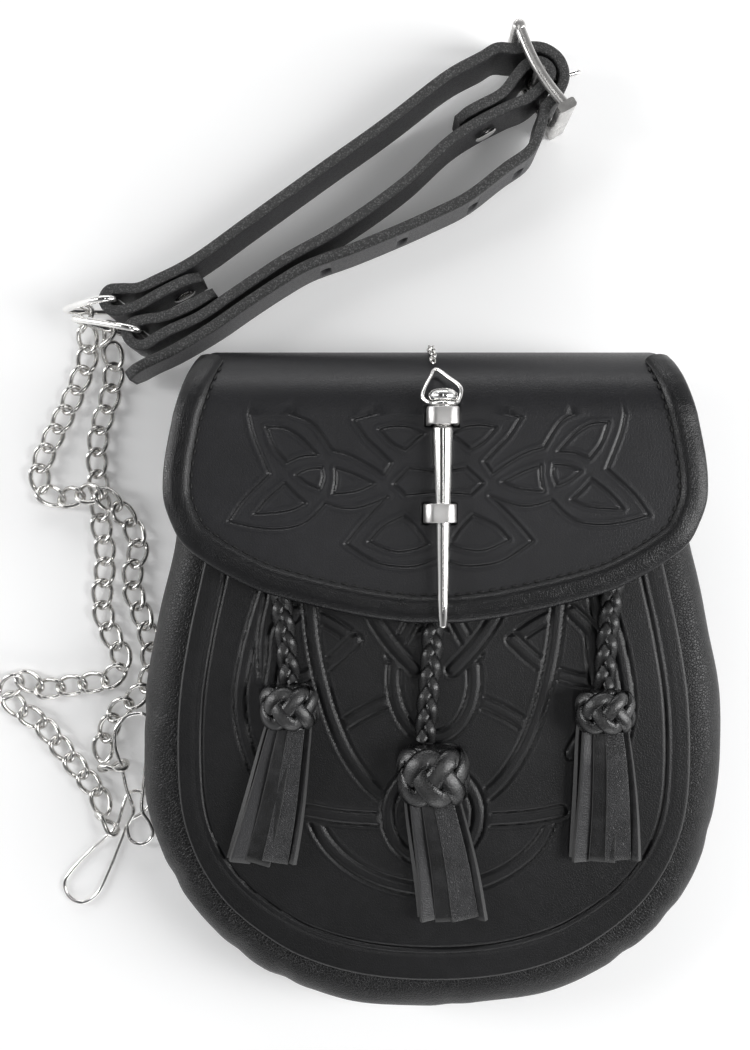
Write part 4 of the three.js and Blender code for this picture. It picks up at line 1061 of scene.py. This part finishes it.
# Runs a tree on a mesh, and keeps the result as a plain mesh
def grown(name, mesh, tree, sockets, values):
    carrier = addObject(name, mesh)
    modifier = carrier.modifiers.new("grow", "NODES")
    modifier.node_group = tree
    for label, value in values.items():
        modifier[sockets[label]] = value
    depsgraph = bpy.context.evaluated_depsgraph_get()
    depsgraph.update()
    result = bpy.data.meshes.new_from_object(carrier.evaluated_get(depsgraph))
    bpy.data.objects.remove(carrier)
    for polygon in result.polygons:
        polygon.use_smooth = True
    return result


# Rows of points joined by edges
def runMesh(runs):
    points, edges = [], []
    for run in runs:
        start = len(points)
        points += (np.asarray(run) * millimetre).tolist()
        edges += [(start + i, start + i + 1) for i in range(len(run) - 1)]
    mesh = bpy.data.meshes.new("run")
    mesh.from_pydata(points, edges, [])
    return mesh


stitchRow, stitchSockets = stitchTree()


def makeStitches(name, runs, slotName, pitch, length, width):
    mesh = grown(name, runMesh(runs), stitchRow, stitchSockets, {
        "Pitch": pitch * millimetre, "Length": length * millimetre, "Width": width * millimetre,
        "Lean": 0.1, "Seed": 7, "Thread": waxedThread})
    return makePiece(name, mesh, waxedThread, slotName)


makeStitches("bindingStitches", [makeBinding()], "leather_smooth", binding["stitchPitch"],
             binding["stitchLength"], binding["stitchWidth"])
print("binding and stitches made")


# The strip across the back that the belt passes behind, sewn down at its ends

backStrap = {"half": 58, "width": 24.8, "thickness": 2.0, "middle": 1.1, "sewn": (54, 40), "sewnHalf": 9.5,
             "pitch": 3.4, "length": 2.3, "thread": 0.7, "stitchHeight": 0.12}


def makeBackStrap():
    half, up, y = backStrap["half"], backStrap["stitchHeight"], backStrap["sewnHalf"]
    path = np.stack([np.linspace(-half, half, 60), np.zeros(60), np.full(60, backStrap["middle"])], axis=1)
    path[:, 2] += 0.06 * np.sin(np.linspace(0, 9, 60))
    section = roundedBox(backStrap["width"], backStrap["thickness"], 0.6, 3)
    makePiece("backStrap", loft(sweepRings(path, section, (0, 0, 1))), strapLeather,
              "leather_strap", "back_strap")
    runs = []
    for end in (-1, 1):
        far, near = (end * x for x in backStrap["sewn"])
        runs += [[(far, side * y, up), (near, side * y, up)] for side in (-1, 1)]
        runs += [[(x, -y, up), (x, y, up)] for x in (far, near)]
    makeStitches("backStrapStitches", runs, "leather_strap", backStrap["pitch"], backStrap["length"],
                 backStrap["thread"])


makeBackStrap()


# Fastening: two staples, the pin through them, its wire bail and fine chain

fastening = {"band": 1.4, "halfWidth": 4.65, "top": 51.9, "foot": 34.7, "corner": 2.0, "pinX": 2.0,
             "pinZ": 47.3, "bailRadius": 0.62}


def makeStaple(staple):
    half, top = (fastening[key] - fastening["band"] / 2 for key in ("halfWidth", "top"))
    corner = fastening["corner"]
    arch = [(-half, fastening["foot"]), (-half, 40), (-half, top - corner - 1), (-half, top - corner)]
    arch += [(-half + corner * (1 - math.cos(t)), top - corner * (1 - math.sin(t)))
             for t in np.radians([22.5, 45, 67.5, 90])]
    arch += [(u, top) for u in np.linspace(-half + corner, half - corner, 6)[1:-1]]
    arch += [(-u, z) for u, z in arch[7::-1]]
    path = np.array([(staple["x"] + u, staple["y"], z) for u, z in arch])
    section = roundedBox(staple["depth"], fastening["band"], 0.32, 3)
    rings = sweepRings(path, section, easyLift(path, (-1, 0, 0)))
    name = "staple" + staple["name"].capitalize()
    makePiece(name, makeMesh(name, loft(rings), sharpAngle=50), satinMetal, "metal_satin",
              "staple_" + staple["name"])


for staple in staples:
    makeStaple(staple)

pinProfile = [
    (-37.8, 0), (-37.75, 0.5), (-37.5, 0.95), (-37, 1.3), (-30, 1.53), (-7, 2.05), (-1.5, 2.3), (8, 2.6),
    (19.4, 2.95), (19.9, 2.95), (20.2, 2.75), (20.5, 2.45), (21.5, 2.4), (26.6, 2.4), (27.0, 2.5),
    (27.3, 2.9), (27.6, 3.5), (28, 4.0), (28.6, 4.22), (29.2, 4.25), (29.8, 4.1), (30.4, 3.65),
    (30.9, 2.9), (31.2, 1.9), (31.35, 0.8), (31.4, 0),
]
makePiece("pin", turned(pinProfile, (fastening["pinX"], 0, fastening["pinZ"]), (0, 1, 0), 56),
          polishedMetal, "metal_polished", "pin")
bailTurn = [
    (0.1, 37.4, 41.2), (4, 34.6, 43.6), (7.2, 31.6, 45.6), (7, 28.8, 46.8), (5.7, 26.9, 48.2),
    (4.5, 26.72, 50.3), (2, 26.72, 51.1), (-0.5, 26.72, 50.3), (-1.8, 26.9, 48.2), (-3.8, 28.6, 46.8),
    (-3.2, 31.4, 45.4), (-1.4, 35, 43),
]
makePiece("pinBail", wire(bailTurn, fastening["bailRadius"]), polishedMetal, "metal_polished", "pin_bail")


# Copies of one link, each turned by the angles its point carries
def linkTree():
    tree, given, sockets = growTree("linkRow", {
        "Link": ("Object", None), "Size": ("Float", 1.0), "Metal": ("Material", None)})
    link = growNode(tree, "GeometryNodeObjectInfo", links={"Object": given["Link"]})
    angles = growNode(tree, "GeometryNodeInputNamedAttribute", {"data_type": "FLOAT_VECTOR"},
                      {"Name": "turn"})
    turn = growNode(tree, "FunctionNodeEulerToRotation", links={"Euler": angles.outputs["Attribute"]})
    placed = growNode(tree, "GeometryNodeInstanceOnPoints", links={
        "Points": given["Geometry"], "Instance": link.outputs["Geometry"],
        "Rotation": turn.outputs[0], "Scale": given["Size"]})
    endTree(tree, placed.outputs[0], given["Metal"])
    return tree, sockets


linkRow, linkSockets = linkTree()


def makeLinks(name, linkShape, centres, alongs, normals, finish, *nodes):
    pattern = bpy.data.objects.new(name + "Pattern", makeMesh(name + "Pattern", linkShape))
    mesh = bpy.data.meshes.new(name)
    mesh.from_pydata((np.asarray(centres) * millimetre).tolist(), [], [])
    turns = []
    for along, normal in zip(unit(alongs), unit(normals)):
        normal = unit(normal - along * np.dot(normal, along))
        across = np.cross(normal, along)
        turns.append(tuple(Matrix(np.stack([along, across, normal], axis=1).tolist()).to_euler()))
    layer = mesh.attributes.new("turn", "FLOAT_VECTOR", "POINT")
    layer.data.foreach_set("vector", np.array(turns, np.float32).ravel())
    made = grown(name, mesh, linkRow, linkSockets, {"Link": pattern, "Size": 1.0, "Metal": finish})
    bpy.data.objects.remove(pattern)
    makePiece(name, made, finish, "metal_polished", *nodes)


# One oval link of round wire, twisted so that it lies in its neighbours
def linkShape(halfLength, halfWidth, twist, radius, bends=28, sides=10):
    turn = np.linspace(0, 2 * math.pi, bends, endpoint=False)
    path = np.stack([halfLength * np.cos(turn), halfWidth * np.sin(turn), twist * np.sin(2 * turn)], axis=1)
    outward = np.stack([np.cos(turn) / halfLength, np.sin(turn) / halfWidth, np.zeros(bends)], axis=1)
    return loft(sweepRings(path, oval(2 * radius, 2 * radius, sides), outward, True), True)


foldRadius = 19.25 + flap["thickness"] / 2  # of the fold's outside
foldHeight = 22.95
pinChain = {"x": -0.5, "height": 1.25, "from": 41, "to": -36, "pitch": 1.75, "rivetAt": -44, "turn": 0.72}


# A place over the fold, by its height above the leather and its angle round the fold
def foldPoint(x, height, angle):
    turn = math.radians(angle)
    radius = foldRadius + height
    return np.array([x, flap["foldY"] + radius * math.cos(turn), foldHeight + radius * math.sin(turn)])


def makePinChain():
    angles = np.linspace(pinChain["from"], pinChain["to"], 60)
    path = np.array([foldPoint(pinChain["x"] + 0.25 * math.sin(i / 4), pinChain["height"], angle)
                     for i, angle in enumerate(angles)])
    count = int(pathLength(path) / pinChain["pitch"])
    path = evenly(path, count)
    along = tangentsOf(path)
    away = unit((path - (0, flap["foldY"], foldHeight)) * (0, 1, 1))
    turn = pinChain["turn"] * np.where(np.arange(count) % 2 == 0, 1, -1)[:, None]
    normals = away * np.cos(turn) + np.cross(along, away) * np.sin(turn)
    makeLinks("pinChain", linkShape(1.5, 0.95, 0.0, 0.3, 18, 7), path, along, normals, chainMetal,
              "pin_chain")


makePinChain()
rivetAxis = foldPoint(0, 1, pinChain["rivetAt"]) - foldPoint(0, 0, pinChain["rivetAt"])
dome = [(0.3, 0), (0.3, 2.6), (0.5, 2.95), (0.8, 2.9), (1.15, 2.4), (1.4, 1.5), (1.5, 0)]
makePiece("chainRivet", turned(dome, foldPoint(pinChain["x"], 0, pinChain["rivetAt"]), rivetAxis, 32),
          polishedMetal, "metal_polished", "chain_rivet")
print("fastening made")


# Straps on edge, the buckle and the rings

buckle = {"x": 26.0, "y": 142.8, "angle": -59.4, "length": 28.6, "low": 0.2, "high": 28.7, "rail": 3.0,
          "barAt": 14.8, "barOut": -1.4, "bow": 1.5, "prongTip": (18.6, 12.8)}
strap = {"width": 21.6, "thickness": 3.2, "floor": 0.3, "buckleLift": 3.3, "ringLift": 2.3,
         "ringTaper": 1.1, "step": 0.9, "corner": 0.75, "wearInset": 1.8, "endTaper": 0.32,
         "holeRadius": 1.9}
rings = [
    {"name": "Upper", "bar": (-97.1, 61), "apex": (-115.4, 59.4), "apexZ": 11.5},
    {"name": "Lower", "bar": (-89.6, 51.4), "apex": (-112.6, 56.6), "apexZ": 13.5},
]
ringWire = {"radius": 1.1, "low": 1.2, "high": 24.7, "shoulder": 5.8, "bend": 2}


def onBuckle(along, out, z=0.0):
    turn = math.radians(buckle["angle"])
    return (buckle["x"] + along * math.cos(turn) - out * math.sin(turn),
            buckle["y"] + along * math.sin(turn) + out * math.cos(turn), z)


# Middle lines seen from above; round the buckle they are given along and out from its end bar
def buckled(*places):
    return [onBuckle(*place)[:2] for place in places]


longRoute = [
    (-71.5, 68.9), (-78, 65.9), (-84, 62.7), (-90, 59.3), (-95.4, 57.7), (-99, 58.2), (-100.5, 61),
    (-98.9, 63.9), (-95.2, 64.4), (-90, 64.6), (-84, 67.3), (-73.5, 73), (-56, 85.5), (-31, 103.5),
    (-11, 117.5), (5.5, 129.5), (15, 134.6),
    *buckled((1.6, -8.2), (4.6, -3.6), (6.2, 0.2), (9, 4), (14, 6.2), (19.4, 5), (22.7, 0.9), (24.6, -4.4),
             (29.4, -9.4)),
    (30, 106.5), (22.5, 101), (11, 92.5), (-0.5, 87), (-9.5, 83), (-24, 77), (-38.5, 71.6), (-46.5, 67),
    (-57.5, 59.8), (-68.5, 52.2), (-80, 45.2), (-88, 41.4), (-94, 38),
]
shortRoute = [
    (-67, 63.9), (-74.1, 59.4), (-82.3, 55.8), (-88.3, 54.9), (-92.2, 53.5), (-93.5, 50.7), (-91.7, 47.8),
    (-88, 47.2), (-84.8, 49.2), (-80.5, 51.6), (-72, 55.6), (-60.5, 63.4), (-44.5, 74), (-29.5, 82.4),
    (-8, 97.5), (7, 110.5),
    *buckled((18.6, -14), (19.4, -8.4), (18.9, -4), (17.1, 1.4), (14.8, 2.3), (12, 1), (10.4, -2.6),
             (11.8, -7.6)),
    (21.4, 123.7), (14, 119.6), (7.7, 116.2),
]


# How high the strap's lower edge is at places seen from above, and how wide the strap is there
def strapLow(points):
    def nearness(centre, near, far):
        return 1 - softStep(np.linalg.norm(points - np.array(centre), axis=-1), near, far)
    inRing = np.maximum(*(nearness(ring["bar"], 8, 26) for ring in rings))
    low = strap["floor"] + strap["buckleLift"] * nearness(onBuckle(buckle["length"] / 2, 0)[:2], 22, 62)
    return low + strap["ringLift"] * inRing, strap["width"] - strap["ringTaper"] * inRing


# A strap on edge along a route. Its section is drawn 2 * tall high, then each half moves to the
# strap's own edge; two points on each face keep the wear near the edges
def strapShape(route):
    path = smoothThrough(route, 16)
    count = int(pathLength(path) / strap["step"])
    path = evenly(path, count)
    low, width = strapLow(path)
    tangents = tangentsOf(path)
    side = np.stack([-tangents[:, 1], tangents[:, 0]], axis=1)
    ends = np.minimum(np.arange(count), np.arange(count)[::-1]) * strap["step"]
    half = width / 2 * (1 - strap["endTaper"] * (1 - softStep(ends, 0, 5)) ** 2)
    out, tall, inset = strap["thickness"] / 2, 50, strap["wearInset"]
    corners = roundedBox(2 * out, 2 * tall, strap["corner"], 3)
    section = np.vstack([corners[:8], [(-out, tall - inset), (-out, inset - tall)],
                         corners[8:], [(out, inset - tall), (out, tall - inset)]])
    across, up = section.T
    way = np.sign(up)
    heights = way * half[:, None] + up - way * tall + (low + width / 2)[:, None]
    heights += 0.05 * np.sin(np.arange(count) / 9)[:, None] * np.sin(up)
    places = path[:, None] + side[:, None] * across[:, None]
    worn = np.tile(np.where(np.abs(up) > tall - 0.8, 1.0, 0.0), (count, 1))
    worn[0] = worn[-1] = 1.0
    return loft(np.concatenate([places, heights[..., None]], axis=2)), worn.ravel()


# A strap along a route with holes cut through it, one at a time, because the cutters cross
def holedStrap(name, route, holes):
    shape, worn = strapShape(route)
    body = addObject(name, makeMesh(name, shape, {"worn": worn}, 50))
    cutters = []
    for number, hole in enumerate(holes):
        cutter = addObject(f"{name}Cutter{number}", makeMesh(f"{name}Cutter{number}", hole))
        modifier = body.modifiers.new(f"hole{number}", "BOOLEAN")
        modifier.operation = "DIFFERENCE"
        modifier.solver = "EXACT"
        modifier.object = cutter
        cutters.append(cutter)
    depsgraph = bpy.context.evaluated_depsgraph_get()
    depsgraph.update()
    made = bpy.data.meshes.new_from_object(body.evaluated_get(depsgraph))
    print(name, "after its holes:", len(made.polygons), "faces")
    for spare in [body] + cutters:
        bpy.data.objects.remove(spare)
    return made


def strapMiddle(x, y):
    low, width = strapLow(np.array([(x, y)], float))
    return np.array([x, y, float(low[0] + width[0] / 2)])


strapHoles = [(26, 103.6, 135), (12.2, 93.5, 123), (-9.5, 83, 114), (-33.5, 73.4, 112)]  # x, y, angle
strapRivets = [(-79.2, 67.6, 118), (-73.1, 57.5, 119), (14.9, 117.5, 119)]


# A turned shape that goes level through the strap
def acrossStrap(profile, x, y, angle, sides):
    turn = math.radians(angle)
    return turned(profile, strapMiddle(x, y), (math.cos(turn), math.sin(turn), 0), sides)


def makeStraps():
    middle = (buckle["low"] + buckle["high"]) / 2
    root = np.array(onBuckle(buckle["barAt"], buckle["barOut"], middle))
    tip = np.array(onBuckle(*buckle["prongTip"], middle))
    reach = float(np.linalg.norm(tip - root))
    prongRoom = turned([(0, 1.55), (reach + 1, 1.55)], root, tip - root, 16)
    eyeRoom = turned([(-1.5, 3.2), (1.5, 3.2)], root, (0, 0, 1), 24)
    hole = [(-4, strap["holeRadius"]), (4, strap["holeRadius"])]
    makePiece("longStrap", holedStrap("longStrap", longRoute, [
        *(acrossStrap(hole, *place, 20) for place in strapHoles), prongRoom]),
        strapLeather, "leather_strap", "strap_long")
    makePiece("shortStrap", holedStrap("shortStrap", shortRoute, [prongRoom, eyeRoom]),
              strapLeather, "leather_strap", "strap_short")
    prong = turned([(1.7, 0.9), (2.2, 1.15), (7, 1.15), (13, 1.05), (14.4, 0.8), (14.9, 0.4), (15.0, 0)],
                   root, tip - root, 24)
    turn = np.linspace(0, 2 * math.pi, 24, endpoint=False)
    eye = root + np.stack([2.4 * np.cos(turn), 2.4 * np.sin(turn), 0 * turn], axis=1)
    eye = loft(sweepRings(eye, oval(1.0, 2.3, 12), (0, 0, 1), True), True)
    makePiece("buckleProng", gather([prong, eye]), polishedMetal, "metal_polished", "buckle_prong")


def makeRivets():
    profile = [(4.05, 1.4), (4.1, 3.3), (4.2, 3.55), (4.45, 3.6), (4.75, 3.2), (4.95, 2.2), (5.0, 0)]
    profile = [(-along, radius) for along, radius in reversed(profile)] + profile
    for number, place in enumerate(strapRivets, 1):
        makePiece(f"strapRivet{number}", acrossStrap(profile, *place, 32), polishedMetal,
                  "metal_polished", f"strap_rivet_{number}")


def makeBuckleFrame():
    low, high, rail, length = (buckle[key] for key in ("low", "high", "rail", "length"))
    tall = high - low
    parts = []
    for z in (low + rail / 2, high - rail / 2):
        path = [onBuckle(0.5 + (length - 1) * share, -buckle["bow"] * math.sin(math.pi * share), z)
                for share in np.linspace(0, 1, 22)]
        parts.append(loft(sweepRings(path, roundedBox(rail, rail * 0.94, 0.9, 3), (0, 0, 1))))
    plate = [onBuckle(length - 0.4, 0, z) for z in np.linspace(low, high, 16)]
    away = np.subtract(onBuckle(1, 0), onBuckle(0, 0))
    endBar = [(0.0, 1.2), (0.3, 1.75), (0.9, 2.0), (tall - 0.9, 2.0), (tall - 0.3, 1.75), (tall, 1.2)]
    middleBar = [(0, 1.6), (tall - 0.8, 1.6)]
    parts += [
        loft(sweepRings(plate, roundedBox(5.8, 3.0, 0.9, 3), away)),
        turned(endBar, onBuckle(0, 0, low), (0, 0, 1), 28),
        turned(middleBar, onBuckle(buckle["barAt"], buckle["barOut"], low + 0.4), (0, 0, 1), 24),
    ]
    makePiece("buckleFrame", makeMesh("buckleFrame", gather(parts), sharpAngle=50), castMetal,
              "metal_polished", "buckle_frame")


# The five corners of a ring, from the top of its upright bar round by its point
def ringCorners(ring):
    foot, point = np.array(ring["bar"]), np.array(ring["apex"])
    shoulder = foot + (point - foot) * ringWire["shoulder"] / np.linalg.norm(point - foot)
    low, high = ringWire["low"], ringWire["high"]
    return np.array([[*foot, high], [*shoulder, high], [*point, ring["apexZ"]],
                     [*shoulder, low], [*foot, low]])


def makeRings():
    for ring in rings:
        corners = ringCorners(ring)
        turns = []
        for i, corner in enumerate(corners):
            before, after = (unit(corners[other % 5] - corner) * ringWire["bend"] for other in (i - 1, i + 1))
            turns += [corner + before, corner + before * 0.36 + after * 0.36, corner + after]
        makePiece("ring" + ring["name"], wire(turns, ringWire["radius"], 14), polishedMetal,
                  "metal_polished", "ring_" + ring["name"].lower())


makeStraps()
makeRivets()
makeBuckleFrame()
makeRings()
print("straps, buckle and rings made")


# Two curb chains on the floor, from the rings to their clips

link = {"halfLength": 4.5, "halfWidth": 2.9, "twist": 1.05, "radius": 0.8, "pitch": 7.0, "gap": 0.3,
        "height": 2.5}
clipWire = 0.65
# Routes are places from above, with a height where it isn't the usual one
chains = {
    "A": {
        "ring": 0, "at": 0.52, "towards": (0, 0.8, 0.6),
        "end": (-98.4, -84.8, 3.9), "endWire": (0.15, -0.98, 0), "endTowards": (1, 0.05, 0),
        "route": [
            (-109.6, 51.4, 2.6), (-110, 44), (-112.5, 37.5), (-115.5, 30.5), (-119, 23.5),
            (-122.5, 16.5), (-125, 9), (-123.5, 2.6), (-117.5, 0.6, 2.6), (-111, 1.8, 4.9),
            (-105, 1.6, 6.7), (-99.5, -2.6, 5.2), (-95.5, -8.4), (-93.4, -15), (-95, -22), (-95, -29),
            (-92.5, -36), (-90.2, -43), (-89.2, -50.5), (-90, -57.5), (-94.4, -63.4), (-100, -67.8),
            (-103, -73.6), (-104.6, -80, 2.6),
        ],
    },
    "B": {
        "ring": 1, "at": 0.39, "towards": (0, 0.75, 0.66),
        "end": (-101.4, -105.4, 3.9), "endWire": (-0.72, -0.7, 0), "endTowards": (0.6, -0.8, 0),
        "route": [
            (-101.5, 46.2, 2.2), (-101.4, 39), (-103, 31), (-105.6, 23), (-106.6, 15), (-106.4, 7.5),
            (-105.6, 0), (-105.4, -7.5), (-104.2, -15), (-104.2, -22.5), (-105, -30), (-104.4, -37.4),
            (-101.6, -44.4), (-98.8, -51), (-102, -57), (-109, -58.6), (-116.5, -59.6), (-124, -60.4),
            (-130.6, -57.6), (-135.4, -61.4), (-131.4, -67.2), (-125, -71.2), (-120, -77),
            (-115.2, -83), (-110.4, -89), (-106, -95, 2.4),
        ],
    },
}


# A link hung on a wire that passes through its end
def hungLink(point, wireWay, towards, wireRadius):
    normal = unit(wireWay)
    towards = np.array(towards, float)
    along = unit(towards - normal * np.dot(towards, normal))
    inside = link["halfLength"] - link["radius"] - wireRadius - link["gap"]
    return np.array(point) - along * inside, along, normal


def makeChain(name, chain):
    corners = ringCorners(rings[chain["ring"]])
    shoulder, point = corners[3], corners[2]
    first = hungLink(shoulder + (point - shoulder) * chain["at"], point - shoulder, chain["towards"],
                     ringWire["radius"])
    last = hungLink(chain["end"], chain["endWire"], chain["endTowards"], clipWire)
    route = [(*place, link["height"])[:3] for place in chain["route"]]
    curve = smoothThrough([first[0], *route, last[0]], 40)
    count = round(pathLength(curve) / link["pitch"])
    centres = evenly(curve, count + 1)
    alongs = tangentsOf(evenly(curve, count * 10 + 1))[::10]
    normals = np.array([(0, 0, 1.0)] * (count + 1))
    centres[0], alongs[0], normals[0] = first
    centres[-1], alongs[-1], normals[-1] = last
    shape = linkShape(*(link[key] for key in ("halfLength", "halfWidth", "twist", "radius")))
    makeLinks("chain" + name, shape, centres, alongs, normals, chainMetal,
              *[f"chain_{name.lower()}_{run}" for run in (1, 2, 3, 4)])


for name, chain in chains.items():
    makeChain(name, chain)

# Each clip is one bent wire
clips = {
    "A": [
        (-91, -68.4, 4.9), (-96.4, -68.9, 5.2), (-100.2, -73.4, 5.2), (-100.2, -79.4, 4.8),
        (-98.6, -84.8, 3.9), (-96.8, -92.4, 4.4), (-94.6, -99.4, 4.6), (-96.6, -104.6, 3.8),
        (-95.4, -109, 3.4), (-91.6, -110, 3.4), (-88.6, -107.2, 3.4), (-89.6, -103.2, 3.8),
        (-91.8, -99.2, 4.6), (-91.6, -92, 4), (-90.4, -82, 3.4), (-89.2, -73, 3.2),
    ],
    "B": [
        (-89.6, -96.8, 1), (-92.2, -93.8, 1), (-96.6, -94.2, 1), (-98.6, -98.6, 1.4), (-100, -104, 3.9),
        (-103, -107.2, 3.7), (-108.4, -112.2, 1), (-114.6, -118.6, 1), (-117.4, -123.4, 1),
        (-115.6, -127.8, 1), (-111.4, -129.4, 1), (-107, -126.8, 1), (-102.8, -118.6, 1),
        (-99.2, -109.6, 1), (-96.4, -103.2, 1), (-92.4, -100.6, 1),
    ],
}
for name, route in clips.items():
    makePiece("clip" + name, wire(route, clipWire, 12, 0.6), polishedMetal, "metal_polished",
              "clip_" + name.lower())
print("chains and clips made")
